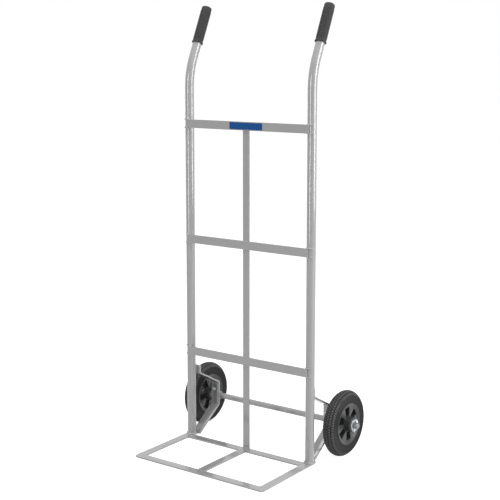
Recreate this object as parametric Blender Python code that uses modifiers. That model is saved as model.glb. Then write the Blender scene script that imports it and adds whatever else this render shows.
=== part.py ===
"""A two-wheel hand truck: two bent tube uprights, flat bar crossbars and toe frame, and two solid tyres.

X runs across the truck, +Y to the back, where the wheels are, and +Z up. The origin is on the floor, at
the centre of the truck's outer box. Every length is in metres.
"""

import math

import bmesh
import bpy
from mathutils import Euler, Matrix, Vector

CLEARANCE = 0.0003  # between two pieces that are welded, seated or bolted together
CUT_OVERRUN = 0.002  # how far a cutter runs past the face that it opens
WELD_DISTANCE = 0.00001  # points closer than this are one point

# Uprights: round tube, straight up to the bend, then leaning back to the hand grips.
TUBE_DIAMETER = 0.0269
TUBE_WALL = 0.0020
UPRIGHT_SPACING = 0.440
HANDLE_BEND_HEIGHT = 1.0876
HANDLE_BEND_RADIUS = 0.210
HANDLE_STRAIGHT = 0.1625
HANDLE_LEAN = math.radians(24.5)

# Flat bar of the frame, laid on edge across the uprights and flat on the floor.
BAR_WIDTH = 0.0254
BAR_THICKNESS = 0.0048
BAR_EDGE = 0.0006
CROSSBAR_HEIGHT_LOWER = 0.277
CROSSBAR_HEIGHT_MIDDLE = 0.628
CROSSBAR_HEIGHT_TOP = 0.979
STRAP_WIDTH = 0.0222
STRAP_TOP_INSET = 0.004
TOE_LENGTH = 0.257  # from the uprights' centres to the front edge
TOE_CORNER_RADIUS = 0.010

LABEL_WIDTH = 0.116
LABEL_HEIGHT = 0.0200
LABEL_THICKNESS = 0.0008
LABEL_OFFSET = 0.0035  # to the right of the middle

# Hand grips, moulded with rings and a collar at the open end.
GRIP_LENGTH = 0.1205
GRIP_WALL = 0.0016
GRIP_END_THICKNESS = 0.0045
GRIP_END_ROUNDING = 0.006
GRIP_COLLAR_LENGTH = 0.006
GRIP_COLLAR_HEIGHT = 0.0016
GRIP_RING_HEIGHT = 0.0006
GRIP_RING_COUNT = 10

# Axle brackets: one flat bar each, bent to a tab, an arm, a plate and a stay.
BRACKET_WIDTH = 0.030
BRACKET_THICKNESS = 0.0048
BRACKET_INSET = 0.008  # of its middle, towards the other one, from the upright's centre
BRACKET_BEND_RADIUS = 0.007
BRACKET_TAB_HEIGHT = 0.025
BRACKET_ARM_RISE = 0.051  # from the plate's top up to the tab
BRACKET_BOLT_MARGIN = 0.0235  # from the clip bolt up to the plate's top
BRACKET_AXLE_MARGIN = 0.025  # from the axle's centre down to the plate's bottom
BRACKET_FOOT_HEIGHT = 0.0044  # of the stay's middle, where it meets the upright's back

# Axle, the clips that hold it behind the brackets, and what keeps the wheels on it.
AXLE_DIAMETER = 0.018
AXLE_SETBACK = 0.124  # from the uprights' centres to the axle's
AXLE_TIP = 0.008  # past the split pin
AXLE_CHAMFER = 0.0012
CLIP_WIDTH = 0.020
CLIP_THICKNESS = 0.0032
CLIP_FILLET = 0.0035
CLIP_BOLT_RISE = 0.0255  # from the axle's centre up to the bolt's
CLIP_TOP_MARGIN = 0.0095
BOLT_DIAMETER = 0.006
BOLT_HEAD_HEIGHT = 0.004
BOLT_TIP = 0.0022
NUT_ACROSS_FLATS = 0.010
NUT_HEIGHT = 0.005
WASHER_DIAMETER = 0.038
WASHER_THICKNESS = 0.0025
AXLE_FIT = 0.0003
PIN_WIRE_DIAMETER = 0.0018
PIN_EYE_RADIUS = 0.0036
PIN_NECK = 0.0022
PIN_NECK_ANGLE = math.radians(50)
PIN_REACH = 0.0022  # past the axle's surface, before the neck and before the bend
PIN_LEG = 0.010
PIN_LEAN = math.radians(45)
PIN_LEG_BEND = math.radians(50)

# Wheels: a solid tyre held between two halves of a spoked rim.
WHEEL_DIAMETER = 0.197
CROWN_RADIUS = 0.0210  # of the tyre's round section
CROWN_HALF_ANGLE = math.radians(66)
TYRE_BORE_FIT = 0.0003
GROOVE_WIDTH = 0.0028
GROOVE_DEPTH = 0.0032
GROOVE_PITCH = 0.0076
GROOVE_COUNT = 4
SIDE_RING_WIDTH = 0.0022
SIDE_RING_HEIGHT = 0.0011
BEAD_WIDTH = 0.0352
RIM_BED_RADIUS = 0.0560
RIM_FLANGE_HEIGHT = 0.0060
RIM_WIDTH = 0.0370
RIM_FLANGE_THICKNESS = 0.0030
RIM_WALL = 0.0040
RIM_LIP = 0.0025
RIM_WEB_THICKNESS = 0.0150
RIM_JOINT_GAP = 0.0003
HUB_DIAMETER = 0.0460
HUB_CHAMFER = 0.0020
HUB_OUTER_LENGTH = 0.0360  # from the joint between the rim halves
HUB_INNER_LENGTH = 0.0299
BUSH_WALL = 0.0030
WINDOW_COUNT = 6
WINDOW_MARGIN = 0.0045  # to the rim's wall outside it and to the hub inside it
SPOKE_WIDTH = 0.0180
SCREW_INSET = 0.0120  # from the rim's wall to the screw's centre
SCREW_DIAMETER = 0.0040
SCREW_HEAD_DIAMETER = 0.0085
SCREW_HEAD_HEIGHT = 0.0030
SCREW_REACH = 0.0065  # into the outer half, past the joint
SCREW_END_GAP = 0.0010
WHEEL_TURN = {"left": math.radians(25), "right": math.radians(5)}  # where the windows stand at rest

# Facets round each kind of turned or bent piece.
TYRE_STEPS = 36
RIM_STEPS = 30
BUSH_STEPS = 16
WASHER_STEPS = 16
GRIP_STEPS = 16
SCREW_STEPS = 8
HOLE_SIDES = 12
AXLE_SIDES = 24
TUBE_BEVEL_RESOLUTION = 5
WIRE_BEVEL_RESOLUTION = 2
HANDLE_BEND_STEPS = 8
BRACKET_BEND_STEPS = 4
CLIP_STEPS = 12
CORNER_STEPS = 4
GRIP_END_STEPS = 3
HEX_SIDES = 6
SHARP_ANGLE = math.radians(35)

SIDES = (("left", -1), ("right", 1))
TUBE_RADIUS = TUBE_DIAMETER / 2
AXLE_RADIUS = AXLE_DIAMETER / 2
WHEEL_RADIUS = WHEEL_DIAMETER / 2
HUB_RADIUS = HUB_DIAMETER / 2
TOE_HALF_WIDTH = UPRIGHT_SPACING / 2 + TUBE_RADIUS
TOE_BACK = TUBE_RADIUS
CROSSBAR_BACK = -TUBE_RADIUS - CLEARANCE
CROSSBAR_FRONT = CROSSBAR_BACK - BAR_THICKNESS
STRAP_FRONT = CROSSBAR_BACK + CLEARANCE
STRAP_BACK = STRAP_FRONT + BAR_THICKNESS
PLATE_BACK = AXLE_SETBACK - AXLE_RADIUS - CLEARANCE
PLATE_MIDDLE = PLATE_BACK - BRACKET_THICKNESS / 2
BRACKET_X = UPRIGHT_SPACING / 2 - BRACKET_INSET
BRACKET_OUTER_X = BRACKET_X + BRACKET_WIDTH / 2
CLIP_BOLT_HEIGHT = WHEEL_RADIUS + CLIP_BOLT_RISE
BRACKET_PLATE_TOP = CLIP_BOLT_HEIGHT + BRACKET_BOLT_MARGIN
BRACKET_PLATE_BOTTOM = WHEEL_RADIUS - BRACKET_AXLE_MARGIN
BRACKET_TAB_BOTTOM = BRACKET_PLATE_TOP + BRACKET_ARM_RISE
RIM_FLANGE_RADIUS = RIM_BED_RADIUS + RIM_FLANGE_HEIGHT
RIM_DISH_RADIUS = RIM_BED_RADIUS - RIM_WALL
WINDOW_OUTER_RADIUS = RIM_DISH_RADIUS - WINDOW_MARGIN
WINDOW_INNER_RADIUS = HUB_RADIUS + WINDOW_MARGIN
SCREW_CIRCLE_RADIUS = RIM_DISH_RADIUS - SCREW_INSET
HUB_BORE_RADIUS = AXLE_RADIUS + AXLE_FIT + BUSH_WALL + CLEARANCE
INNER_WASHER_X = BRACKET_OUTER_X + CLEARANCE
WHEEL_X = INNER_WASHER_X + WASHER_THICKNESS + CLEARANCE + HUB_INNER_LENGTH
OUTER_WASHER_X = WHEEL_X + HUB_OUTER_LENGTH + CLEARANCE
PIN_X = OUTER_WASHER_X + WASHER_THICKNESS + CLEARANCE + PIN_WIRE_DIAMETER / 2
PIN_LEG_X = (PIN_WIRE_DIAMETER + CLEARANCE) / 2
PIN_HOLE_RADIUS = PIN_LEG_X + PIN_WIRE_DIAMETER / 2 + CLEARANCE
AXLE_HALF_LENGTH = PIN_X + PIN_HOLE_RADIUS + AXLE_TIP
ORIGIN_SHIFT = (TOE_LENGTH - AXLE_SETBACK - WHEEL_RADIUS) / 2  # puts the outer box's centre at Y = 0


def clear_scene():
    for old in list(bpy.data.objects):
        bpy.data.objects.remove(old, do_unlink=True)


def new_collection(name):
    collection = bpy.data.collections.new(name)
    bpy.context.scene.collection.children.link(collection)
    return collection


def linear(hex_colour):
    """An sRGB colour such as "a0a0a0" as linear RGBA."""
    shares = [int(hex_colour[i : i + 2], 16) / 255 for i in (0, 2, 4)]
    return [s / 12.92 if s <= 0.04045 else ((s + 0.055) / 1.055) ** 2.4 for s in shares] + [1.0]


def make_material(name, hex_colour, roughness, metallic=0.0):
    material = bpy.data.materials.new(name)
    material.use_nodes = True
    shader = material.node_tree.nodes["Principled BSDF"]
    shader.inputs["Base Color"].default_value = linear(hex_colour)
    shader.inputs["Roughness"].default_value = roughness
    shader.inputs["Metallic"].default_value = metallic
    return material


clear_scene()
PARTS = new_collection("hand_truck")
CUTTERS = new_collection("hand_truck_cutters")
GREY_PAINT = make_material("grey_paint", "a6a8aa", 0.42)
ZINC = make_material("zinc_plate", "b9bdc2", 0.30, 1.0)
BLACK_VINYL = make_material("black_vinyl", "2b2b2d", 0.55)
BLACK_RUBBER = make_material("black_rubber", "3a3b3d", 0.80)
BLACK_PLASTIC = make_material("black_plastic", "333436", 0.50)
BUSH_NYLON = make_material("bush_nylon", "d9d6cc", 0.45)
BLUE_FILM = make_material("blue_film", "1b4f9c", 0.35)


def add_empty(name, location, rotation=(0, 0, 0), parent=None):
    empty = bpy.data.objects.new(name, None)
    empty.location = location
    empty.rotation_euler = rotation
    empty.parent = parent
    PARTS.objects.link(empty)
    return empty


TRUCK = add_empty("truck_origin", (0, ORIGIN_SHIFT, 0))


def place(obj, material, location=(0, 0, 0), rotation=(0, 0, 0), parent=None):
    """Names the object's finish and puts it in its place under its parent."""
    if material:
        obj.data.materials.clear()
        obj.data.materials.append(material)
    obj.location = location
    obj.rotation_euler = rotation
    obj.parent = parent or TRUCK
    return obj


def link_only(obj, collection):
    for other in list(obj.users_collection):
        other.objects.unlink(obj)
    collection.objects.link(obj)


def as_cutter(obj):
    link_only(obj, CUTTERS)
    obj.hide_render = True
    obj.display_type = "WIRE"
    return obj


def bevel_edges(obj, width, segments=1):
    bevel = obj.modifiers.new("rolled_edges", "BEVEL")
    bevel.width = width
    bevel.segments = segments
    bevel.limit_method = "ANGLE"
    bevel.angle_limit = math.radians(40)


def cut(obj, cutter, operation="DIFFERENCE"):
    boolean = obj.modifiers.new(operation.lower(), "BOOLEAN")
    boolean.operation = operation
    boolean.object = cutter


def box(name, size, material, centre, edge=BAR_EDGE):
    """A flat bar: size is along X, Y and Z, and its long edges are rolled a little."""
    bpy.ops.mesh.primitive_cube_add(size=1)
    obj = bpy.context.object
    obj.name = name
    obj.data.transform(Matrix.Diagonal((*size, 1)))
    link_only(obj, PARTS)
    if edge:
        bevel_edges(obj, edge)
    return place(obj, material, centre)


def cylinder(name, radius, length, sides, collection=PARTS):
    """A cylinder along its own Z, centred on its origin."""
    bpy.ops.mesh.primitive_cylinder_add(vertices=sides, radius=radius, depth=length)
    obj = bpy.context.object
    obj.name = name
    link_only(obj, collection)
    return obj


def turned(name, profile, steps, ring):
    """Turns (radius, height) points, which run down the outer side, round Z. A ring's profile is closed."""
    mesh = bpy.data.meshes.new(name)
    count = len(profile)
    edges = [(i, (i + 1) % count) for i in range(count if ring else count - 1)]
    mesh.from_pydata([(r, 0, z) for r, z in profile], edges, [])
    obj = bpy.data.objects.new(name, mesh)
    PARTS.objects.link(obj)
    screw = obj.modifiers.new("turned", "SCREW")
    screw.axis = "Z"
    screw.steps = steps
    screw.render_steps = steps
    screw.use_merge_vertices = True
    screw.merge_threshold = WELD_DISTANCE
    screw.use_smooth_shade = False
    return obj


def curve_object(name, splines, cyclic, dimensions):
    curve = bpy.data.curves.new(name, "CURVE")
    curve.dimensions = dimensions
    for points in splines:
        spline = curve.splines.new("POLY")
        spline.points.add(len(points) - 1)
        for slot, point in zip(spline.points, points):
            slot.co = (*Vector(point).to_3d(), 1)
        spline.use_cyclic_u = cyclic
    obj = bpy.data.objects.new(name, curve)
    PARTS.objects.link(obj)
    return obj


def made_mesh(curve_obj):
    """The mesh object that takes a curve object's place, with its caps welded and its faces turned out."""
    graph = bpy.context.evaluated_depsgraph_get()
    mesh = bpy.data.meshes.new_from_object(curve_obj.evaluated_get(graph))
    work = bmesh.new()
    work.from_mesh(mesh)
    bmesh.ops.remove_doubles(work, verts=work.verts, dist=WELD_DISTANCE)
    bmesh.ops.recalc_face_normals(work, faces=work.faces)
    work.to_mesh(mesh)
    work.free()
    name = curve_obj.name
    matrix = curve_obj.matrix_world.copy()
    bpy.data.objects.remove(curve_obj, do_unlink=True)
    obj = bpy.data.objects.new(name, mesh)
    obj.matrix_world = matrix
    PARTS.objects.link(obj)
    return obj


def plate(name, outlines, thickness):
    """Flat outlines in the local XY plane, given thickness along Z and centred on it."""
    obj = curve_object(name, outlines, cyclic=True, dimensions="2D")
    obj.data.fill_mode = "BOTH"
    obj.data.extrude = thickness / 2
    return made_mesh(obj)


def bent_strip(name, path, width, thickness):
    """A flat strip whose middle follows a path in the local XY plane, and whose width is along Z."""
    obj = curve_object(name, [path], cyclic=False, dimensions="2D")
    obj.data.extrude = width / 2
    obj = made_mesh(obj)
    solidify = obj.modifiers.new("thickness", "SOLIDIFY")
    solidify.thickness = thickness
    solidify.offset = 0
    solidify.use_even_offset = True
    return obj


def wire(name, path, radius, resolution=WIRE_BEVEL_RESOLUTION):
    obj = curve_object(name, [path], cyclic=False, dimensions="3D")
    obj.data.bevel_depth = radius
    obj.data.bevel_resolution = resolution
    obj.data.use_fill_caps = True
    return made_mesh(obj)


def arc(centre, radius, start, end, steps):
    """Points on a circle from one angle to another, both ends included."""
    angles = [start + (end - start) * i / steps for i in range(steps + 1)]
    return [(centre[0] + radius * math.cos(a), centre[1] + radius * math.sin(a)) for a in angles]


def rounded(path, radius, steps, cyclic=False):
    """The path with an arc of this radius in place of each corner."""
    points = [Vector(p) for p in path]
    count = len(points)
    corners = range(count) if cyclic else range(1, count - 1)
    result = [] if cyclic else [points[0]]
    for i in corners:
        corner = points[i]
        back = (points[i - 1] - corner).normalized()
        ahead = (points[(i + 1) % count] - corner).normalized()
        half = back.angle(ahead) / 2
        centre = corner + (back + ahead).normalized() * radius / math.sin(half)
        first = corner + back * radius / math.tan(half) - centre
        last = corner + ahead * radius / math.tan(half) - centre
        turn = first.angle_signed(last)
        for k in range(steps + 1):
            angle = -turn * k / steps
            result.append(centre + Matrix.Rotation(angle, 2) @ first)
    if not cyclic:
        result.append(points[-1])
    return result


# A local XY plane stood up as the truck's side view: X to the back, Y up, Z across to the right.
SIDE_VIEW = (math.pi / 2, 0, math.pi / 2)


def handle_path():
    """The upright's middle line as (back, height) points, from its foot on the toe frame to its end."""
    bend_centre = (HANDLE_BEND_RADIUS, HANDLE_BEND_HEIGHT)
    bend = arc(bend_centre, HANDLE_BEND_RADIUS, math.pi, math.pi - HANDLE_LEAN, HANDLE_BEND_STEPS)
    end_y = bend[-1][0] + HANDLE_STRAIGHT * math.sin(HANDLE_LEAN)
    end_z = bend[-1][1] + HANDLE_STRAIGHT * math.cos(HANDLE_LEAN)
    return [(0, BAR_THICKNESS + CLEARANCE), *bend, (end_y, end_z)]


def make_upright(word, side):
    path = [(0, y, z) for y, z in handle_path()]
    obj = curve_object("upright_" + word, [path], cyclic=False, dimensions="3D")
    obj.data.bevel_depth = TUBE_RADIUS
    obj.data.bevel_resolution = TUBE_BEVEL_RESOLUTION
    obj = made_mesh(obj)
    wall = obj.modifiers.new("tube_wall", "SOLIDIFY")
    wall.thickness = TUBE_WALL
    wall.offset = -1
    place(obj, GREY_PAINT, (side * UPRIGHT_SPACING / 2, 0, 0))


def grip_profile():
    """Down the grip's outside, round its open end and up its bore, whose flats clear the tube."""
    bore = (TUBE_RADIUS + CLEARANCE) / math.cos(math.pi / GRIP_STEPS)
    outer = bore + GRIP_WALL
    rounding_centre = (outer - GRIP_END_ROUNDING, -GRIP_END_ROUNDING)
    top = arc(rounding_centre, GRIP_END_ROUNDING, math.pi / 2, 0, GRIP_END_STEPS)
    ringed = GRIP_LENGTH - GRIP_END_ROUNDING - GRIP_COLLAR_LENGTH
    pitch = ringed / GRIP_RING_COUNT
    rings = []
    for i in range(GRIP_RING_COUNT):
        start = -GRIP_END_ROUNDING - i * pitch
        rings.append((outer - GRIP_RING_HEIGHT, start - pitch / 4))
        rings.append((outer, start - pitch * 3 / 4))
    collar = outer + GRIP_COLLAR_HEIGHT
    collar_top = GRIP_COLLAR_LENGTH - GRIP_LENGTH
    foot = [(collar, collar_top), (collar, -GRIP_LENGTH), (bore, -GRIP_LENGTH)]
    return [(0, 0), *top, *rings, *foot, (bore, -GRIP_END_THICKNESS), (0, -GRIP_END_THICKNESS)]


def make_grip(word, side):
    """The tube stops just short of the inside of the grip's closed end."""
    obj = turned("grip_" + word, grip_profile(), GRIP_STEPS, ring=False)
    end_y, end_z = handle_path()[-1]
    lift = GRIP_END_THICKNESS + CLEARANCE
    location = (
        side * UPRIGHT_SPACING / 2,
        end_y + lift * math.sin(HANDLE_LEAN),
        end_z + lift * math.cos(HANDLE_LEAN),
    )
    place(obj, BLACK_VINYL, location, (-HANDLE_LEAN, 0, 0))


def make_crossbars():
    """Three flat bars on edge, lapped on the front of the uprights, and the strap behind them."""
    heights = (
        ("top", CROSSBAR_HEIGHT_TOP),
        ("middle", CROSSBAR_HEIGHT_MIDDLE),
        ("lower", CROSSBAR_HEIGHT_LOWER),
    )
    for word, height in heights:
        size = (UPRIGHT_SPACING, BAR_THICKNESS, BAR_WIDTH)
        box("crossbar_" + word, size, GREY_PAINT, (0, CROSSBAR_BACK - BAR_THICKNESS / 2, height))
    bottom = BAR_THICKNESS + CLEARANCE
    top = CROSSBAR_HEIGHT_TOP + BAR_WIDTH / 2 - STRAP_TOP_INSET
    size = (STRAP_WIDTH, BAR_THICKNESS, top - bottom)
    box("centre_strap", size, GREY_PAINT, (0, (STRAP_FRONT + STRAP_BACK) / 2, (top + bottom) / 2))


def make_label():
    size = (LABEL_WIDTH, LABEL_THICKNESS, LABEL_HEIGHT)
    centre = (LABEL_OFFSET, CROSSBAR_FRONT - CLEARANCE - LABEL_THICKNESS / 2, CROSSBAR_HEIGHT_TOP)
    box("label_plate", size, BLUE_FILM, centre, edge=0)


def make_toe_frame():
    """Flat bars on the floor: the front one has round outer corners, and the others butt against it."""
    front = -TOE_LENGTH
    front_bar_back = front + BAR_WIDTH
    left, right = -TOE_HALF_WIDTH, TOE_HALF_WIDTH
    square = [(left, front_bar_back), (left, front), (right, front), (right, front_bar_back)]
    outline = rounded(square, TOE_CORNER_RADIUS, CORNER_STEPS)
    bar = plate("toe_front_bar", [outline], BAR_THICKNESS)
    bevel_edges(bar, BAR_EDGE)
    place(bar, GREY_PAINT, (0, 0, BAR_THICKNESS / 2))

    side_front = front_bar_back + CLEARANCE
    side_length = TOE_BACK - side_front
    for word, side in SIDES:
        centre = (side * (TOE_HALF_WIDTH - BAR_WIDTH / 2), side_front + side_length / 2, BAR_THICKNESS / 2)
        box("toe_side_bar_" + word, (BAR_WIDTH, side_length, BAR_THICKNESS), GREY_PAINT, centre)

    rear_length = 2 * (TOE_HALF_WIDTH - BAR_WIDTH - CLEARANCE)
    centre = (0, STRAP_BACK - BAR_WIDTH / 2, BAR_THICKNESS / 2)
    box("toe_rear_bar", (rear_length, BAR_WIDTH, BAR_THICKNESS), GREY_PAINT, centre)
    centre_back = STRAP_BACK - BAR_WIDTH - CLEARANCE
    centre_length = centre_back - side_front
    centre = (0, side_front + centre_length / 2, BAR_THICKNESS / 2)
    box("toe_centre_bar", (BAR_WIDTH, centre_length, BAR_THICKNESS), GREY_PAINT, centre)


def make_bracket(word, side):
    """One flat bar bent in three places: tab on the upright, arm, plate for the axle, stay to the foot."""
    seat = TUBE_RADIUS + CLEARANCE
    tab = seat + BRACKET_THICKNESS / 2
    fall = (BRACKET_PLATE_BOTTOM - BRACKET_FOOT_HEIGHT) / (PLATE_MIDDLE - seat)
    corners = [
        (tab, BRACKET_TAB_BOTTOM + BRACKET_TAB_HEIGHT),
        (tab, BRACKET_TAB_BOTTOM),
        (PLATE_MIDDLE, BRACKET_PLATE_TOP),
        (PLATE_MIDDLE, BRACKET_PLATE_BOTTOM),
        (seat - BRACKET_THICKNESS, BRACKET_FOOT_HEIGHT - BRACKET_THICKNESS * fall),
    ]
    path = rounded(corners, BRACKET_BEND_RADIUS, BRACKET_BEND_STEPS)
    obj = bent_strip("axle_bracket_" + word, path, BRACKET_WIDTH, BRACKET_THICKNESS)
    cut(obj, bolt_hole_cutter("bracket_hole_" + word, side))
    cut(obj, foot_trim_cutter("foot_trim_" + word, side))
    place(obj, GREY_PAINT, (side * BRACKET_X, 0, 0), SIDE_VIEW)


def foot_trim_cutter(name, side):
    """A block that cuts the stay's end upright, flush behind the upright and the toe frame."""
    length = 4 * BRACKET_THICKNESS
    width = BRACKET_WIDTH + CUT_OVERRUN
    centre = (side * BRACKET_X, TUBE_RADIUS + CLEARANCE - length / 2, BRACKET_FOOT_HEIGHT)
    return as_cutter(box(name, (width, length, 2 * length), None, centre, edge=0))


def bolt_hole_cutter(name, side):
    """A cylinder through the bracket's plate and the clip's flange, on the clip bolt's line."""
    reach = BRACKET_THICKNESS + CLIP_THICKNESS + CUT_OVERRUN
    obj = as_cutter(cylinder(name, BOLT_DIAMETER / 2 + CLEARANCE, 2 * reach, HOLE_SIDES))
    location = (side * BRACKET_X, PLATE_BACK, CLIP_BOLT_HEIGHT)
    return place(obj, None, location, (math.pi / 2, 0, 0))


def clip_path():
    """Down the plate's back from the bolt, then round the back of the axle to the plate again."""
    flange = PLATE_BACK + CLEARANCE + CLIP_THICKNESS / 2
    ring = AXLE_RADIUS + CLEARANCE + CLIP_THICKNESS / 2
    across = AXLE_SETBACK - flange - CLIP_FILLET
    rise = math.sqrt((ring + CLIP_FILLET) ** 2 - across**2)
    fillet_centre = (flange + CLIP_FILLET, WHEEL_RADIUS + rise)
    meeting = math.atan2(rise, -across)
    fillet = arc(fillet_centre, CLIP_FILLET, math.pi, meeting + math.pi, BRACKET_BEND_STEPS)
    tip = math.acos(AXLE_RADIUS / (ring + CLIP_THICKNESS / 2)) - math.pi
    hook = arc((AXLE_SETBACK, WHEEL_RADIUS), ring, meeting, tip, CLIP_STEPS)
    return [(flange, CLIP_BOLT_HEIGHT + CLIP_TOP_MARGIN), *fillet, *hook[1:]]


def make_clip(word, side):
    obj = bent_strip("axle_clip_" + word, clip_path(), CLIP_WIDTH, CLIP_THICKNESS)
    cut(obj, bolt_hole_cutter("clip_hole_" + word, side))
    place(obj, GREY_PAINT, (side * BRACKET_X, 0, 0), SIDE_VIEW)


def make_clip_bolt(word, side):
    """Head behind the clip, nut on the bracket's front face, where the bolt's end shows."""
    across_corners = NUT_ACROSS_FLATS / math.cos(math.pi / HEX_SIDES)
    nut_front = PLATE_BACK - BRACKET_THICKNESS - CLEARANCE - NUT_HEIGHT
    head_front = PLATE_BACK + 2 * CLEARANCE + CLIP_THICKNESS
    shank_front = nut_front - BOLT_TIP
    head_back = head_front + BOLT_HEAD_HEIGHT
    x = side * BRACKET_X
    along_y = (math.pi / 2, 0, 0)

    bolt = cylinder("clip_bolt_" + word, BOLT_DIAMETER / 2, head_back - shank_front, HOLE_SIDES)
    head = as_cutter(cylinder("bolt_head_" + word, across_corners / 2, BOLT_HEAD_HEIGHT, HEX_SIDES))
    place(head, None, (x, head_front + BOLT_HEAD_HEIGHT / 2, CLIP_BOLT_HEIGHT), along_y)
    cut(bolt, head, "UNION")
    place(bolt, ZINC, (x, (head_back + shank_front) / 2, CLIP_BOLT_HEIGHT), along_y)

    nut = cylinder("clip_nut_" + word, across_corners / 2, NUT_HEIGHT, HEX_SIDES)
    bore_radius = BOLT_DIAMETER / 2 + CLEARANCE
    bore = as_cutter(cylinder("nut_bore_" + word, bore_radius, NUT_HEIGHT + CUT_OVERRUN, HOLE_SIDES))
    nut_place = (x, nut_front + NUT_HEIGHT / 2, CLIP_BOLT_HEIGHT)
    place(bore, None, nut_place, along_y)
    cut(nut, bore)
    place(nut, ZINC, nut_place, along_y)


def make_axle():
    axle = cylinder("axle", AXLE_RADIUS, 2 * AXLE_HALF_LENGTH, AXLE_SIDES)
    bevel_edges(axle, AXLE_CHAMFER)
    hole_length = AXLE_DIAMETER + CUT_OVERRUN
    for word, side in SIDES:
        hole = as_cutter(cylinder("pin_hole_" + word, PIN_HOLE_RADIUS, hole_length, HOLE_SIDES))
        place(hole, None, (side * PIN_X, AXLE_SETBACK, WHEEL_RADIUS), (PIN_LEAN - math.pi / 2, 0, 0))
        cut(axle, hole)
    place(axle, GREY_PAINT, (0, AXLE_SETBACK, WHEEL_RADIUS), (0, math.pi / 2, 0))


def make_washers(word, side):
    bore = AXLE_RADIUS + AXLE_FIT
    half = WASHER_THICKNESS / 2
    rim = WASHER_DIAMETER / 2
    profile = [(rim, half), (rim, -half), (bore, -half), (bore, half)]
    for kind, x in (("inner", INNER_WASHER_X), ("outer", OUTER_WASHER_X)):
        obj = turned(kind + "_washer_" + word, profile, WASHER_STEPS, ring=True)
        place(obj, ZINC, (side * (x + half), AXLE_SETBACK, WHEEL_RADIUS), (0, math.pi / 2, 0))


def split_pin_path():
    """A wire folded double, from one bent tip over the open eye to the other tip. The eye is up."""
    reach = AXLE_RADIUS + PIN_REACH
    tip = (PIN_LEG_X + PIN_LEG * math.sin(PIN_LEG_BEND), -reach - PIN_LEG * math.cos(PIN_LEG_BEND))
    leg = rounded([tip, (PIN_LEG_X, -reach), (PIN_LEG_X, reach)], PIN_WIRE_DIAMETER, CORNER_STEPS)
    eye_centre = (0, reach + PIN_NECK + PIN_EYE_RADIUS * math.sin(PIN_NECK_ANGLE))
    eye = arc(eye_centre, PIN_EYE_RADIUS, -PIN_NECK_ANGLE, math.pi + PIN_NECK_ANGLE, CLIP_STEPS)
    other_leg = [(-point.x, point.y) for point in reversed(leg)]
    return [*[tuple(point) for point in leg], *eye, *other_leg]


def make_split_pin(word, side):
    """It lies in the plane across the axle, with a leg on each side of its hole's middle."""
    obj = wire("split_pin_" + word, [(x, y, 0) for x, y in split_pin_path()], PIN_WIRE_DIAMETER / 2)
    rotation = Euler(SIDE_VIEW).to_matrix() @ Matrix.Rotation(PIN_LEAN - math.pi / 2, 3, "Z")
    place(obj, ZINC, (side * PIN_X, AXLE_SETBACK, WHEEL_RADIUS), rotation.to_euler())


def tyre_profile():
    """Down the tyre's outside from its outboard bead to its inboard one, and back along its bore."""
    crown_centre = WHEEL_RADIUS - CROWN_RADIUS
    edge = crown_centre + CROWN_RADIUS * math.cos(CROWN_HALF_ANGLE)
    half_width = CROWN_RADIUS * math.sin(CROWN_HALF_ANGLE)
    tread = ((GROOVE_COUNT - 1) * GROOVE_PITCH + GROOVE_WIDTH) / 2
    lip = RIM_FLANGE_RADIUS + TYRE_BORE_FIT
    bore = RIM_BED_RADIUS + TYRE_BORE_FIT
    seat = RIM_WIDTH / 2 - RIM_FLANGE_THICKNESS - TYRE_BORE_FIT

    def crown(z):
        return crown_centre + math.sqrt(CROWN_RADIUS**2 - z**2)

    shoulder = (half_width + tread) / 2
    half = [
        (bore, seat),
        (lip, seat),
        (lip, BEAD_WIDTH / 2),
        (edge - SIDE_RING_WIDTH - SIDE_RING_HEIGHT, half_width - SIDE_RING_HEIGHT),
        (edge - SIDE_RING_WIDTH, half_width),
        (edge, half_width),
        (crown(shoulder), shoulder),
    ]
    grooves = []
    for i in range(GROOVE_COUNT):
        middle = ((GROOVE_COUNT - 1) / 2 - i) * GROOVE_PITCH
        for z, depth in ((GROOVE_WIDTH / 2, 0), (0, GROOVE_DEPTH), (-GROOVE_WIDTH / 2, 0)):
            grooves.append((crown(middle + z) - depth, middle + z))
    return half + grooves + [(r, -z) for r, z in reversed(half)]


def rim_half_profile(hub_length):
    """Flange, tyre bed, joint face, bore and hub end of one half, which opens towards +Z."""
    edge = RIM_WIDTH / 2
    joint = RIM_JOINT_GAP / 2
    return [
        (RIM_FLANGE_RADIUS, edge),
        (RIM_FLANGE_RADIUS, edge - RIM_FLANGE_THICKNESS),
        (RIM_BED_RADIUS, edge - RIM_FLANGE_THICKNESS),
        (RIM_BED_RADIUS, joint),
        (HUB_BORE_RADIUS, joint),
        (HUB_BORE_RADIUS, hub_length),
        (HUB_RADIUS - HUB_CHAMFER, hub_length),
        (HUB_RADIUS, hub_length - HUB_CHAMFER),
        (HUB_RADIUS, RIM_WEB_THICKNESS),
        (RIM_DISH_RADIUS, RIM_WEB_THICKNESS),
        (RIM_FLANGE_RADIUS - RIM_LIP, edge),
    ]


def window_outline(turn):
    """A window between two spokes of even width, closed by arcs towards the hub and the tyre."""
    half_pitch = math.pi / WINDOW_COUNT
    half_spoke = SPOKE_WIDTH / 2

    def half_angle(radius):
        return half_pitch - math.asin(min(half_spoke / radius, math.sin(half_pitch)))

    outer = half_angle(WINDOW_OUTER_RADIUS)
    inner = half_angle(WINDOW_INNER_RADIUS)
    far = arc((0, 0), WINDOW_OUTER_RADIUS, turn - outer, turn + outer, CORNER_STEPS)
    near = arc((0, 0), WINDOW_INNER_RADIUS, turn + inner, turn - inner, 1)
    return [Vector(p) for p in far + near]


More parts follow.
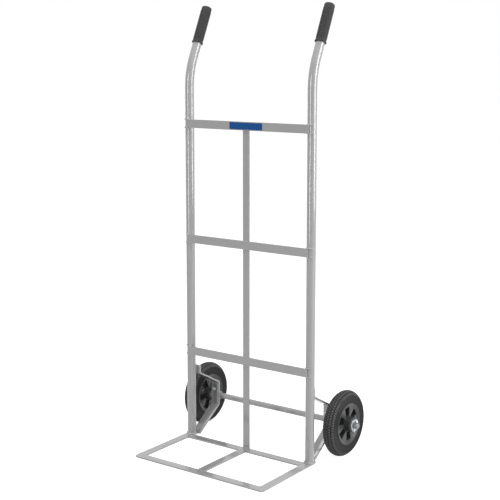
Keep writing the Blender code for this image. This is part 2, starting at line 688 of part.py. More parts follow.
def make_window_cutter(name, parent):
    pitch = 2 * math.pi / WINDOW_COUNT
    outlines = [window_outline(i * pitch) for i in range(WINDOW_COUNT)]
    cutter = plate(name, outlines, 2 * (RIM_WEB_THICKNESS + CUT_OVERRUN))
    return place(as_cutter(cutter), None, parent=parent)


def screw_places():
    """The screws stand on the spokes, half way between the windows."""
    pitch = 2 * math.pi / WINDOW_COUNT
    return arc((0, 0), SCREW_CIRCLE_RADIUS, pitch / 2, pitch / 2 + 2 * math.pi - pitch, WINDOW_COUNT - 1)


def make_screw_hole_cutter(name, parent):
    """Six pilot holes from the inboard face, which stop inside the outer half."""
    outlines = [
        arc((x, y), SCREW_DIAMETER / 2 + CLEARANCE, 0, 2 * math.pi * (1 - 1 / SCREW_STEPS), SCREW_STEPS - 1)
        for x, y in screw_places()
    ]
    top = SCREW_REACH + SCREW_END_GAP
    bottom = -RIM_WEB_THICKNESS - CUT_OVERRUN
    cutter = plate(name, outlines, top - bottom)
    return place(as_cutter(cutter), None, (0, 0, (top + bottom) / 2), parent=parent)


def make_screw(name, x, y, parent):
    """Pan head against the inner half, shank through it and into the outer half."""
    head_bottom = -RIM_WEB_THICKNESS - CLEARANCE
    head_top = head_bottom - SCREW_HEAD_HEIGHT
    head = SCREW_HEAD_DIAMETER / 2
    shank = SCREW_DIAMETER / 2
    profile = [(0, SCREW_REACH), (shank, SCREW_REACH), (shank, head_bottom), (head, head_bottom)]
    profile += [(head, (head_bottom + head_top) / 2), (head * 2 / 3, head_top), (0, head_top)]
    obj = turned(name, profile, SCREW_STEPS, ring=False)
    place(obj, ZINC, (x, y, 0), parent=parent)


def make_wheel(word, side):
    """Each wheel is built round Z, with its outboard side up, and then laid on the axle."""
    spin = (0, side * math.pi / 2, 0)
    hub = add_empty("wheel_axis_" + word, (side * WHEEL_X, AXLE_SETBACK, WHEEL_RADIUS), spin, TRUCK)
    turn = add_empty("wheel_turn_" + word, (0, 0, 0), (0, 0, WHEEL_TURN[word]), hub)

    place(turned("tyre_" + word, tyre_profile(), TYRE_STEPS, ring=True), BLACK_RUBBER, parent=hub)

    windows = make_window_cutter("windows_" + word, turn)
    holes = make_screw_hole_cutter("screw_holes_" + word, turn)
    half_facet = math.pi / RIM_STEPS
    outer = turned("rim_outer_half_" + word, rim_half_profile(HUB_OUTER_LENGTH), RIM_STEPS, ring=True)
    place(outer, BLACK_PLASTIC, (0, 0, 0), (0, 0, half_facet), turn)
    inner = turned("rim_inner_half_" + word, rim_half_profile(HUB_INNER_LENGTH), RIM_STEPS, ring=True)
    place(inner, BLACK_PLASTIC, (0, 0, 0), (math.pi, 0, half_facet), turn)
    for half in (outer, inner):
        cut(half, windows)
        cut(half, holes)

    bore = AXLE_RADIUS + AXLE_FIT
    sleeve = bore + BUSH_WALL
    ends = (HUB_OUTER_LENGTH, -HUB_INNER_LENGTH)
    profile = [(sleeve, ends[0]), (sleeve, ends[1]), (bore, ends[1]), (bore, ends[0])]
    place(turned("hub_bush_" + word, profile, BUSH_STEPS, ring=True), BUSH_NYLON, parent=turn)

    for number, (x, y) in enumerate(screw_places(), start=1):
        make_screw(f"rim_screw_{word}_{number}", x, y, turn)


def make_truck():
    make_crossbars()
    make_label()
    make_toe_frame()
    make_axle()
    for word, side in SIDES:
        make_upright(word, side)
        make_grip(word, side)
        make_bracket(word, side)
        make_clip(word, side)
        make_clip_bolt(word, side)
        make_washers(word, side)
        make_split_pin(word, side)
        make_wheel(word, side)


def finish_shapes():
    """Makes every part a plain mesh, shaded smooth over its rounds and sharp at its corners."""
    graph = bpy.context.evaluated_depsgraph_get()
    parts = [obj for obj in PARTS.objects if obj.type == "MESH"]
    meshes = [bpy.data.meshes.new_from_object(obj.evaluated_get(graph)) for obj in parts]
    for obj, mesh in zip(parts, meshes):
        obj.modifiers.clear()
        obj.data = mesh
        mesh.shade_smooth()
        mesh.set_sharp_from_angle(angle=SHARP_ANGLE)


make_truck()
finish_shapes()
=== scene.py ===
"""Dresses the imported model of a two-wheel hand truck, and sets up its camera, lights and floor.

Blender 4.5. Every length is in metres: X runs across the truck, +Y to its wheels and +Z up.
"""

import math
import random

import bmesh
import bpy
from mathutils import Matrix, Vector


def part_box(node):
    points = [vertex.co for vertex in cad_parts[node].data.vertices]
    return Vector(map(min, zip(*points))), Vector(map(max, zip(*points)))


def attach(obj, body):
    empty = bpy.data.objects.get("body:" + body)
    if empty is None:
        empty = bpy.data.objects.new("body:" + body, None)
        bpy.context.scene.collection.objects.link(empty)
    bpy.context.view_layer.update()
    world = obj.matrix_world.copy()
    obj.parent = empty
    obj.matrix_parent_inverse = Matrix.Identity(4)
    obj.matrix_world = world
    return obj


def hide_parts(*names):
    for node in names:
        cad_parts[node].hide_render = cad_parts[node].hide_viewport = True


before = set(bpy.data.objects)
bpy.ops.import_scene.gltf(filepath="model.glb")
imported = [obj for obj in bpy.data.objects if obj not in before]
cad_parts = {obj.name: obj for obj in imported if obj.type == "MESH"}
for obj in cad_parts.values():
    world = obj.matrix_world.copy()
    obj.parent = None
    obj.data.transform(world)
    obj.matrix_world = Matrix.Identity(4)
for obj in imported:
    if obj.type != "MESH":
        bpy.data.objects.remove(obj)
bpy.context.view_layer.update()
bpy.ops.object.select_all(action="DESELECT")

# The camera stands where the photograph was taken from, to the right of the load side and about as high as
# the grips' lower ends. It looks a little down, with its film shifted so that the truck fills the frame.
CAMERA_PLACE = (1.91033, -2.61199, 1.19021)
CAMERA_YAW = math.radians(35.923)
CAMERA_PITCH = math.radians(8.037)
SENSOR_WIDTH = 36  # in millimetres
FOCAL_SHARE = 2.22931  # of the sensor's width
SHIFT_SHARE = -0.08  # of the picture's width

camera_turn = (math.pi / 2 - CAMERA_PITCH, 0, CAMERA_YAW)
bpy.ops.object.camera_add(location=CAMERA_PLACE, rotation=camera_turn)
camera = bpy.context.object
camera.data.sensor_width = SENSOR_WIDTH
camera.data.lens = SENSOR_WIDTH * FOCAL_SHARE
camera.data.shift_y = SHIFT_SHARE
bpy.context.scene.camera = camera

# The uprights are two lengths of welded steel tube, bent back once near the top by a tube bender. Like the
# whole frame they are sprayed after welding, with a silver-grey enamel that hides the tube's seam.
SIDES = {"left": -1, "right": 1}
TUBE_DIAMETER = 0.0269
TUBE_WALL = 0.0020
TUBE_SIDES = 48
BEND_HEIGHT = 1.0876
BEND_RADIUS = 0.210
BEND_ANGLE = math.radians(24.5)
HANDLE_LENGTH = 0.1625
STEP_ANGLE = math.radians(3.1)  # of each facet round a bend
SMOOTH_ANGLE = math.radians(40)  # edges flatter than this are shaded as one surface
ENAMEL_GREYS = ("8e8e8e", "969696")
ENAMEL_CLOUD_SIZE = 0.09  # of the faint clouds that a spray gun leaves
ENAMEL_ROUGH = (0.36, 0.44)
ENAMEL_SPECULAR = 0.1
ENAMEL_PEEL_SIZE = 0.0018
ENAMEL_PEEL_DEPTH = 0.00001
ENAMEL_PEEL_STRENGTH = 0.35
ENAMEL_SKIN_IOR = 1.75
ENAMEL_SKIN_ROUGH = 0.11
COLOUR_A, COLOUR_B, COLOUR_OUT = 6, 7, 2  # a Mix node's colour sockets, which share their names


def linear(colour):
    """An sRGB hex colour as linear RGBA."""
    shares = [int(colour[i : i + 2], 16) / 255 for i in (0, 2, 4)]
    return [s / 12.92 if s <= 0.04045 else ((s + 0.055) / 1.055) ** 2.4 for s in shares] + [1.0]


def new_material(name):
    """A material with its Principled shader and its Object coordinates."""
    material = bpy.data.materials.new(name)
    material.use_nodes = True
    shader = material.node_tree.nodes["Principled BSDF"]
    place = material.node_tree.nodes.new("ShaderNodeTexCoord").outputs["Object"]
    return material, shader, place


def add_node(owner, kind, inputs, **settings):
    """Adds a node with its settings to a material or a world."""
    node = owner.node_tree.nodes.new(kind)
    for name, value in settings.items():
        setattr(node, name, value)
    wire(owner, node, inputs)
    return node


def wire(owner, node, inputs):
    """Sets a node's inputs: a socket is linked to its input, and any other value is written there."""
    for name, value in inputs.items():
        if isinstance(value, bpy.types.NodeSocket):
            owner.node_tree.links.new(value, node.inputs[name])
        else:
            node.inputs[name].default_value = value


def cloudy_tone(material, place, size, tints, **settings):
    """Soft clouds of this size: their strength from 0 to 1, and the colour that they mix of two tints."""
    clouds = add_node(material, "ShaderNodeTexNoise", {"Vector": place, "Scale": 1 / size, **settings})
    dark, light = (linear(colour) for colour in tints)
    strength = clouds.outputs["Fac"]
    mixed = add_node(
        material, "ShaderNodeMix", {"Factor": strength, COLOUR_A: dark, COLOUR_B: light}, data_type="RGBA"
    )
    return strength, mixed.outputs[COLOUR_OUT]


def make_enamel():
    """Silver-grey enamel, sprayed: an even satin grey with a faint orange peel, and a hard outer skin that
    draws thin bright streaks down the tubes."""
    material, shader, place = new_material("silver_grey_enamel_sprayed")
    clouds, tone = cloudy_tone(material, place, ENAMEL_CLOUD_SIZE, ENAMEL_GREYS)
    low, high = ENAMEL_ROUGH
    sheen = add_node(material, "ShaderNodeMapRange", {"Value": clouds, "To Min": low, "To Max": high})
    peel = add_node(
        material, "ShaderNodeTexNoise", {"Vector": place, "Scale": 1 / ENAMEL_PEEL_SIZE, "Detail": 1.0}
    )
    bump = add_node(
        material, "ShaderNodeBump",
        {"Height": peel.outputs["Fac"], "Strength": ENAMEL_PEEL_STRENGTH, "Distance": ENAMEL_PEEL_DEPTH},
    )
    wire(material, shader, {
        "Base Color": tone, "Roughness": sheen.outputs[0], "Normal": bump.outputs[0],
        "Specular IOR Level": ENAMEL_SPECULAR, "Coat Weight": 1.0,
        "Coat IOR": ENAMEL_SKIN_IOR, "Coat Roughness": ENAMEL_SKIN_ROUGH,
    })
    return material


def begin(name):
    """Names the primitive that was just added and opens it in edit mode, all of it selected."""
    piece = bpy.context.object
    piece.name = name
    bpy.ops.object.mode_set(mode="EDIT")
    bpy.ops.mesh.select_mode(type="VERT")
    bpy.ops.mesh.select_all(action="SELECT")
    return piece


def apply_modifier(piece, kind, **settings):
    """Finishes the piece, which is active, with a modifier of this kind, and ends in object mode."""
    bpy.ops.object.mode_set(mode="OBJECT")
    modifier = piece.modifiers.new(kind.lower(), kind)
    for name, value in settings.items():
        setattr(modifier, name, value)
    bpy.ops.object.modifier_apply(modifier=modifier.name)


def seat(piece, material, body, *nodes, smooth=SMOOTH_ANGLE):
    """Applies the piece's place, gives it its finish, and fixes it to its body in place of these nodes.

    With no material, the piece keeps the ones that it has.
    """
    bpy.ops.object.mode_set(mode="OBJECT")
    bpy.ops.object.transform_apply(location=True, rotation=True, scale=True)
    bpy.ops.object.shade_smooth_by_angle(angle=smooth)
    if material:
        piece.data.materials.clear()
        piece.data.materials.append(material)
    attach(piece, body)
    if nodes:
        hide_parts(*nodes)
    bpy.ops.object.select_all(action="DESELECT")


def copy_of(piece, name, place):
    """A copy of the piece with its own mesh, put in its place and selected alone."""
    bpy.ops.object.mode_set(mode="OBJECT")
    bpy.ops.object.select_all(action="DESELECT")
    piece.select_set(True)
    bpy.context.view_layer.objects.active = piece
    bpy.ops.object.transform_apply(location=True, rotation=True, scale=True)
    bpy.ops.object.duplicate()
    copy = bpy.context.object
    copy.name = name
    copy.matrix_world = place
    return copy


def fit_both(piece, name, material, node, smooth=SMOOTH_ANGLE):
    """Copies a piece that was modelled at X = 0 to the left and the right node that it stands for."""
    for word in SIDES:
        low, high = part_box(f"{node}_{word}")
        copy = copy_of(piece, f"{name}_{word}", Matrix.Translation(((low.x + high.x) / 2, 0, 0)))
        seat(copy, material, "frame", f"{node}_{word}", smooth=smooth)
    bpy.data.objects.remove(piece)


def draw_out(place, heading, moves):
    """Extrudes the selected end straight on, or spins it round a bend, in a plane across X.

    The heading is the angle up from +Y. A move is a length, or the (radius, angle) of a bend.
    """
    here = Vector(place)
    for move in moves:
        if isinstance(move, tuple):
            radius, turn = move
            left = Vector((0, -math.sin(heading), math.cos(heading)))
            centre = here + left * math.copysign(radius, turn)
            steps = max(2, round(abs(turn) / STEP_ANGLE))
            bpy.ops.mesh.spin(steps=steps, angle=-turn, center=centre, axis=(1, 0, 0))
            here = centre + Matrix.Rotation(turn, 3, "X") @ (here - centre)
            heading += turn
        else:
            ahead = Vector((0, math.cos(heading), math.sin(heading))) * move
            bpy.ops.mesh.extrude_edges_move(TRANSFORM_OT_translate={"value": ahead})
            here += ahead
    return here, heading


enamel = make_enamel()
low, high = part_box("upright_left")
foot = (0, low.y + TUBE_DIAMETER / 2, low.z)
bpy.ops.mesh.primitive_circle_add(vertices=TUBE_SIDES, radius=TUBE_DIAMETER / 2, location=foot)
tube = begin("tube")
handle_end, handle_heading = draw_out(
    foot, math.pi / 2, [BEND_HEIGHT - low.z, (BEND_RADIUS, -BEND_ANGLE), HANDLE_LENGTH]
)
bpy.ops.mesh.select_all(action="SELECT")
bpy.ops.mesh.normals_make_consistent(inside=False)
apply_modifier(tube, "SOLIDIFY", thickness=TUBE_WALL, offset=-1)
fit_both(tube, "tube", enamel, "upright")

# The crossbars, the centre strap and the toe frame are rolled flat bar, sawn to length and welded. Their
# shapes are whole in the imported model, so they only take the frame's enamel.
CROSSBARS = ("crossbar_top", "crossbar_middle", "crossbar_lower")
TOE_BARS = (
    "toe_front_bar", "toe_side_bar_left", "toe_side_bar_right", "toe_rear_bar", "toe_centre_bar",
)


def refinish(node, material):
    """Puts the finish on every slot of a node that is shown as it is."""
    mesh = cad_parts[node].data
    mesh.materials.clear()
    mesh.materials.append(material)


for bar in (*CROSSBARS, "centre_strap", *TOE_BARS):
    refinish(bar, enamel)

# The axle brackets are 30 mm flat bar bent cold in three places: a tab on the back of the upright, an arm, a
# plate in front of the axle, and a stay that runs down to the upright's foot. The edges stay as rolled.
BRACKET_THICKNESS = 0.0048
BRACKET_WIDTH = 0.030
BRACKET_BEND = 0.007  # the radius of its middle line in each bend
ROLLED_EDGE = 0.0007
ROLLED_ANGLE = math.radians(50)  # corners sharper than this are rounded
TAB_HEIGHT = 0.025
ARM_RISE = 0.051
PLATE_ABOVE_BOLT = 0.0235
PLATE_BELOW_AXLE = 0.025
STAY_FOOT_HEIGHT = 0.0044
BOLT_ABOVE_AXLE = 0.0255
AXLE_RADIUS = 0.009
SEAT_GAP = 0.0003


def bend_moves(corners, radius):
    """The first heading and the moves along a middle line given by its corners, with a bend at each."""
    legs = [b - a for a, b in zip(corners, corners[1:])]
    turns = [-a.angle_signed(b) for a, b in zip(legs, legs[1:])]
    taken = [0, *(radius * math.tan(abs(turn) / 2) for turn in turns), 0]
    moves = []
    for i, leg in enumerate(legs):
        moves.append(leg.length - taken[i] - taken[i + 1])
        if i < len(turns):
            moves.append((radius, turns[i]))
    return math.atan2(legs[0].y, legs[0].x), moves


def choose(piece, kind, test):
    """In edit mode, selects only those vertices, edges or faces of the piece that pass the test."""
    bpy.ops.mesh.select_all(action="DESELECT")
    bpy.ops.mesh.select_mode(type={"verts": "VERT", "edges": "EDGE", "faces": "FACE"}[kind])
    work = bmesh.from_edit_mesh(piece.data)
    for part in getattr(work, kind):
        part.select_set(bool(test(part)))
    work.select_flush_mode()
    bmesh.update_edit_mesh(piece.data)


def strip(name, start, heading, moves, width, thickness):
    """A flat strip in the plane X = 0: one edge, extruded and spun along its moves, then thickened."""
    start = Vector((0, *start))
    bpy.ops.mesh.primitive_plane_add(size=width, location=start + Vector((0, width / 2, 0)))
    piece = begin(name)
    choose(piece, "verts", lambda v: v.co.y > 0)
    bpy.ops.mesh.delete(type="VERT")
    bpy.ops.mesh.select_all(action="SELECT")
    draw_out(start, heading, moves)
    bpy.ops.mesh.select_all(action="SELECT")
    bpy.ops.mesh.normals_make_consistent(inside=False)
    apply_modifier(piece, "SOLIDIFY", thickness=thickness, offset=0, use_even_offset=True)
    bpy.ops.object.transform_apply(location=True, rotation=True, scale=True)
    return piece


def roll_edges(piece):
    """Rounds all of the piece's edges a little, as on rolled bar."""
    apply_modifier(
        piece, "BEVEL", width=ROLLED_EDGE, segments=2, limit_method="ANGLE", angle_limit=ROLLED_ANGLE
    )


axle_low, axle_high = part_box("axle")
AXLE_Y = (axle_low.y + axle_high.y) / 2
AXLE_Z = (axle_low.z + axle_high.z) / 2
low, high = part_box("axle_bracket_left")
tab_y = low.y + BRACKET_THICKNESS / 2
plate_y = AXLE_Y - AXLE_RADIUS - SEAT_GAP - BRACKET_THICKNESS / 2
plate_top = AXLE_Z + BOLT_ABOVE_AXLE + PLATE_ABOVE_BOLT
plate_bottom = AXLE_Z - PLATE_BELOW_AXLE
fall = (plate_bottom - STAY_FOOT_HEIGHT) / (plate_y - low.y)
corners = [
    Vector((tab_y, plate_top + ARM_RISE + TAB_HEIGHT)),
    Vector((tab_y, plate_top + ARM_RISE)),
    Vector((plate_y, plate_top)),
    Vector((plate_y, plate_bottom)),
    Vector((low.y - BRACKET_THICKNESS, STAY_FOOT_HEIGHT - BRACKET_THICKNESS * fall)),
]
heading, moves = bend_moves(corners, BRACKET_BEND)
bracket = strip("bracket", corners[0], heading, moves, BRACKET_WIDTH, BRACKET_THICKNESS)

# The stay ends upright against the back of the toe frame, so the end's corners slide along it to one plane.
bpy.ops.object.mode_set(mode="EDIT")
ahead = (corners[4] - corners[3]).normalized()
for outward in (Vector((-ahead.y, ahead.x)), Vector((ahead.y, -ahead.x))):

    def on_end(vertex):
        out = vertex.co.yz - corners[4]
        return out.length < BRACKET_THICKNESS and out.dot(outward) > 0

    choose(bracket, "verts", on_end)
    corner = corners[4] + outward * BRACKET_THICKNESS / 2
    slide = ahead * ((low.y - corner.x) / ahead.x)
    bpy.ops.transform.translate(value=(0, *slide))
roll_edges(bracket)
fit_both(bracket, "bracket", enamel, "axle_bracket")

# The axle is one round bar that doesn't turn, chamfered at its ends and drilled across for the split pins.
# It is sprayed with the frame between the brackets, and its ends stay bare steel for the wheels to turn on.
AXLE_SIDES = 40
AXLE_CHAMFER = 0.0013
SQUARE_ON = 0.9  # the least share of a unit normal along an axis, for a face that looks that way
STEEL_TINTS = ("6f7072", "8e8f91")
STEEL_ROUGH = (0.34, 0.46)
STEEL_GRAIN_SIZE = 0.003  # coarser than real tool marks, so that it shows


def make_steel(name, tints, grain_size, rough):
    """Bare or plated steel: a cold, slightly cloudy metal, rougher where the clouds are light."""
    material, shader, place = new_material(name)
    clouds, tone = cloudy_tone(material, place, grain_size, tints, Detail=4.0)
    low, high = rough
    sheen = add_node(material, "ShaderNodeMapRange", {"Value": clouds, "To Min": low, "To Max": high})
    wire(material, shader, {"Base Color": tone, "Roughness": sheen.outputs[0], "Metallic": 1.0})
    return material


# Turned steel, left bare, is a mid-grey metal with a blurred shine.
bare_steel = make_steel("bare_turned_steel", STEEL_TINTS, STEEL_GRAIN_SIZE, STEEL_ROUGH)
sprayed_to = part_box("axle_bracket_right")[1].x
bpy.ops.mesh.primitive_cylinder_add(
    vertices=AXLE_SIDES, radius=AXLE_RADIUS, depth=axle_high.x - axle_low.x,
    location=(0, AXLE_Y, AXLE_Z), rotation=(0, math.pi / 2, 0),
)
axle_bar = begin("axle_bar")
choose(axle_bar, "edges", lambda e: any(abs(f.normal.z) > SQUARE_ON for f in e.link_faces))
bpy.ops.mesh.bevel(offset=AXLE_CHAMFER, segments=1)
for side in SIDES.values():
    bpy.ops.mesh.select_all(action="SELECT")
    bpy.ops.mesh.bisect(plane_co=(side * sprayed_to, 0, 0), plane_no=(1, 0, 0))
seat(axle_bar, enamel, "frame", "axle")
axle_bar.data.materials.append(bare_steel)
for face in axle_bar.data.polygons:
    face.material_index = int(abs(face.center.x) > sprayed_to)

# Each axle clip is a short strip of 3 mm steel, bolted flat to the back of the bracket's plate and rolled
# round the back of the axle, which it holds against the plate. It is painted with the frame.
CLIP_WIDTH = 0.020
CLIP_THICKNESS = 0.0032
CLIP_FILLET = 0.0035
CLIP_ABOVE_BOLT = 0.0095

# Its middle line runs down the plate, turns back in a fillet and goes round the axle to the plate again.
low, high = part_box("axle_clip_left")
flange_y = low.y + CLIP_THICKNESS / 2
ring = AXLE_RADIUS + SEAT_GAP + CLIP_THICKNESS / 2
across = AXLE_Y - flange_y - CLIP_FILLET
rise = math.sqrt((ring + CLIP_FILLET) ** 2 - across**2)
meeting = math.atan2(rise, across)
top = AXLE_Z + BOLT_ABOVE_AXLE + CLIP_ABOVE_BOLT
drop = top - (AXLE_Z + rise)
tip = math.acos(AXLE_RADIUS / (ring + CLIP_THICKNESS / 2))
hook = 2 * math.pi - meeting - tip
moves = [drop, (CLIP_FILLET, math.pi - meeting), (ring, -hook)]
clip = strip("clip", (flange_y, top), -math.pi / 2, moves, CLIP_WIDTH, CLIP_THICKNESS)
roll_edges(clip)
fit_both(clip, "clip", enamel, "axle_clip")

# The frame is put together with short MIG welds, left as they were laid, with their ripples. The enamel runs
# over them. On the toe frame's top, where the load stands, they are ground almost flat.
WELD_RIPPLE = 0.0015
WELD_GRAIN = 0.0005
WELD_RADIUS = 0.0029
WELD_UNEVENNESS = (0.78, 1.16)
GROUND_SHARE = 0.16
ARC_STEP = 12  # in degrees, as LAP_ARC is
FOOT_OUT = 0.0006  # from the tube of each upright's foot, and above the toe frame
FOOT_RISE = 0.0012
LAP_RADIUS = WELD_RADIUS * 0.75  # on the fronts of the uprights, above and below each crossbar
LAP_ARC = (232, 308)
LAP_OUT = 0.0010
LAP_INSET = 0.0002
TACK_LENGTH = 0.0040  # at the corners behind a crossbar's ends
TACK_INSET = 0.0010
TACK_FROM_END = 0.0045
TACK_BEHIND = 0.0006
TAB_RADIUS = WELD_RADIUS * 0.9  # on the brackets' tabs, and at the feet of their stays
TAB_DROPS = (0.022, 0.003)  # from the tab's top to the lower and upper ends of its upright seams
TAB_EDGE_INSET = 0.0012
TAB_INNER_OFFSET = 0.0090
TAB_INNER_SUNK = 0.0010
TAB_TOP_REACHES = (-0.0060, 0.0050)  # from the tube's middle line
TAB_TOP_BEHIND = 0.0010
STAY_INSET = 0.0030
STAY_BEHIND = 0.0012
STAY_HEIGHT = 0.0068
STRAP_RADIUS = WELD_RADIUS * 0.7  # where the strap crosses each bar
STRAP_REACH = 0.0075
STRAP_INSET = 0.0040
STRAP_RISE = 0.0008
SEAM_INSET = 0.0020


def weld(name, radius, runs, ground_at=None):
    """Lays overlapping drops along each run of points and melts them into one lumpy bead."""
    hand = random.Random(len(runs))
    spots = []
    for run in runs:
        for start, end in zip(run, run[1:]):
            count = max(1, round((Vector(end) - Vector(start)).length / WELD_RIPPLE))
            spots += [Vector(start).lerp(Vector(end), i / count) for i in range(count)]
        spots.append(Vector(run[-1]))
    for i, spot in enumerate(spots):
        size = radius * hand.uniform(*WELD_UNEVENNESS)
        bpy.ops.mesh.primitive_ico_sphere_add(subdivisions=2, radius=size, location=spot)
        if i == 0:
            piece = begin(name)
    apply_modifier(piece, "REMESH", mode="VOXEL", voxel_size=WELD_GRAIN)
    apply_modifier(piece, "SMOOTH", factor=0.5, iterations=3)
    bpy.ops.object.transform_apply(location=True, rotation=True, scale=True)
    if ground_at is not None:
        bpy.ops.object.mode_set(mode="EDIT")
        bpy.ops.mesh.select_all(action="SELECT")
        bpy.ops.transform.resize(value=(1, 1, GROUND_SHARE), center_override=(0, 0, ground_at))
    seat(piece, enamel, "frame", smooth=math.pi)


def round_the_tube(word, start, end, out, height):
    """A run round an upright, from one angle to another in degrees, so far out from its surface."""
    low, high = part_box("upright_" + word)
    x, y = (low.x + high.x) / 2, low.y + TUBE_DIAMETER / 2
    reach = TUBE_DIAMETER / 2 + out
    count = max(2, round(abs(end - start) / ARC_STEP))
    angles = [math.radians(start + (end - start) * i / count) for i in range(count + 1)]
    return [(x + reach * math.cos(a), y + reach * math.sin(a), height) for a in angles]


def run_across(low, high, inset, y, z):
    """A straight run from left to right over a bar, whose ends are this far inside the bar's edges."""
    return [(low.x + inset, y, z), (high.x - inset, y, z)]


def run_up(x, y, start, end):
    """A straight run between two heights."""
    return [(x, y, start), (x, y, end)]


toe_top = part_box("toe_rear_bar")[1].z
feet, laps, crossings, bracket_runs, seams = [], [], [], [], []
for word, side in SIDES.items():
    feet.append(round_the_tube(word, 0, 360, FOOT_OUT, toe_top + FOOT_RISE))
    for bar in CROSSBARS:
        low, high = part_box(bar)
        for z in (low.z + LAP_INSET, high.z - LAP_INSET):
            laps.append(round_the_tube(word, *LAP_ARC, LAP_OUT, z))
        x = (low.x if side < 0 else high.x) - side * TACK_FROM_END
        for z, length in ((low.z + TACK_INSET, TACK_LENGTH), (high.z - TACK_INSET, -TACK_LENGTH)):
            laps.append(run_up(x, high.y + TACK_BEHIND, z, z + length))
    tube_low, tube_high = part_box("upright_" + word)
    tube_x = (tube_low.x + tube_high.x) / 2
    low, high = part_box("axle_bracket_" + word)
    bottom, top = (high.z - drop for drop in TAB_DROPS)
    for x in (low.x + TAB_EDGE_INSET, high.x - TAB_EDGE_INSET):
        if tube_low.x < x < tube_high.x:
            bracket_runs.append(run_up(x, low.y, bottom, top))
    bracket_runs.append(run_up(tube_x - side * TAB_INNER_OFFSET, low.y - TAB_INNER_SUNK, bottom, top))
    bracket_runs.append([(tube_x + reach, low.y + TAB_TOP_BEHIND, high.z) for reach in TAB_TOP_REACHES])
    bracket_runs.append(run_across(low, high, STAY_INSET, low.y + STAY_BEHIND, STAY_HEIGHT))
    low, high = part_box("toe_side_bar_" + word)
    for y in (low.y, high.y):
        seams.append(run_across(low, high, SEAM_INSET, y, toe_top))
strap_low, strap_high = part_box("centre_strap")
for bar in CROSSBARS:
    low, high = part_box(bar)
    for z in (low.z, high.z):
        if z < strap_high.z:
            crossings.append([(-STRAP_REACH, high.y, z), (STRAP_REACH, high.y, z)])
    for x in (strap_low.x, strap_high.x):
        crossings.append(run_up(x, high.y, low.z + STRAP_INSET, min(high.z, strap_high.z) - STRAP_INSET))
for y in (strap_low.y, strap_high.y):
    crossings.append(run_across(strap_low, strap_high, SEAM_INSET, y, toe_top + STRAP_RISE))
low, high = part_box("toe_centre_bar")
for y in (low.y, high.y):
    seams.append(run_across(low, high, SEAM_INSET, y, toe_top))
weld("welds_upright_feet", WELD_RADIUS, feet)
weld("welds_crossbar_ends", LAP_RADIUS, laps)
weld("welds_centre_strap", STRAP_RADIUS, crossings)
weld("welds_axle_brackets", TAB_RADIUS, bracket_runs)
weld("welds_toe_frame", WELD_RADIUS, seams, ground_at=toe_top)

# The clips' bolts and nuts are M6, of bright zinc-plated steel, with chamfered hexagons and rolled threads.
# The head is behind the clip, and the nut is on the front of the bracket's plate, where the bolt's end shows.
NUT_ACROSS = 0.010
NUT_FACE = 0.475 * NUT_ACROSS  # the radius of the round face that the chamfer leaves
NUT_CHAMFER = math.radians(30)
BLANK_SIDES = 48
THREAD_PITCH = 0.0010
THREAD_DEPTH = 0.0006
THREAD_SIDES = 24
BOLT_RADIUS = 0.0030
BOLT_HEAD = 0.0040
BRIGHT_ZINC_TINTS = ("d2d4d6", "ecedee")
BRIGHT_ZINC_ROUGH = (0.24, 0.42)
ZINC_BLOOM_SIZE = 0.004
CRISP_ANGLE = math.radians(30)  # the same limit, for pieces with crisp edges
DOUBLE_GAP = 1e-6  # points closer than this are one


def drawn_line(name, points):
    """A string of edges through the points, drawn from one vertex. It stays open in edit mode."""
    bpy.ops.mesh.primitive_plane_add()
    piece = begin(name)
    bpy.ops.mesh.merge(type="CENTER")
    bpy.ops.transform.translate(value=points[0])
    for start, end in zip(points, points[1:]):
        step = [b - a for a, b in zip(start, end)]
        bpy.ops.mesh.extrude_vertices_move(TRANSFORM_OT_translate={"value": step})
    bpy.ops.mesh.select_all(action="SELECT")
    return piece


def turned_piece(name, profile, steps, place=(0, 0, 0), rotation=(0, 0, 0)):
    """Spins a string of (radius, height) points round Z, and puts the piece in its place."""
    piece = drawn_line(name, [(r, 0, z) for r, z in profile])
    bpy.ops.mesh.spin(steps=steps, angle=2 * math.pi, center=(0, 0, 0), axis=(0, 0, 1))
    bpy.ops.mesh.select_all(action="SELECT")
    bpy.ops.mesh.remove_doubles(threshold=DOUBLE_GAP)
    bpy.ops.mesh.normals_make_consistent(inside=False)
    bpy.ops.object.mode_set(mode="OBJECT")
    piece.location = place
    piece.rotation_euler = rotation
    bpy.ops.object.transform_apply(location=True, rotation=True, scale=True)
    return piece


def arc(centre, radius, start, end, steps):
    """Points on a circle from one angle to another, in degrees, both ends included."""
    angles = [math.radians(start + (end - start) * i / steps) for i in range(steps + 1)]
    return [(centre[0] + radius * math.cos(a), centre[1] + radius * math.sin(a)) for a in angles]


def combine(piece, tool, operation):
    """A Boolean of the two, after which the tool is gone."""
    bpy.ops.object.select_all(action="DESELECT")
    piece.select_set(True)
    bpy.context.view_layer.objects.active = piece
    apply_modifier(piece, "BOOLEAN", operation=operation, solver="EXACT", object=tool)
    bpy.data.objects.remove(tool)
    return piece


def hexagon(name, height, bore):
    """A six-sided prism on Z = 0, whose corners a chamfered blank rounds off. A bore of 0 leaves it whole."""
    corner = NUT_ACROSS / 2 / math.cos(math.pi / 6)
    fall = (corner - NUT_FACE) * math.tan(NUT_CHAMFER)
    blank = [(NUT_FACE, 0), (corner, fall), (corner, height - fall), (NUT_FACE, height)]
    if bore:
        sink = THREAD_DEPTH
        blank = [(bore + sink, 0), *blank, (bore + sink, height), (bore, height - sink), (bore, sink)]
        blank.append(blank[0])
    else:
        blank = [(0, 0), *blank, (0, height)]
    tool = turned_piece("blank", blank, BLANK_SIDES)
    bpy.ops.mesh.primitive_cylinder_add(
        vertices=6, radius=corner, depth=height, location=(0, 0, height / 2)
    )
    piece = begin(name)
    bpy.ops.object.mode_set(mode="OBJECT")
    return combine(piece, tool, "INTERSECT")


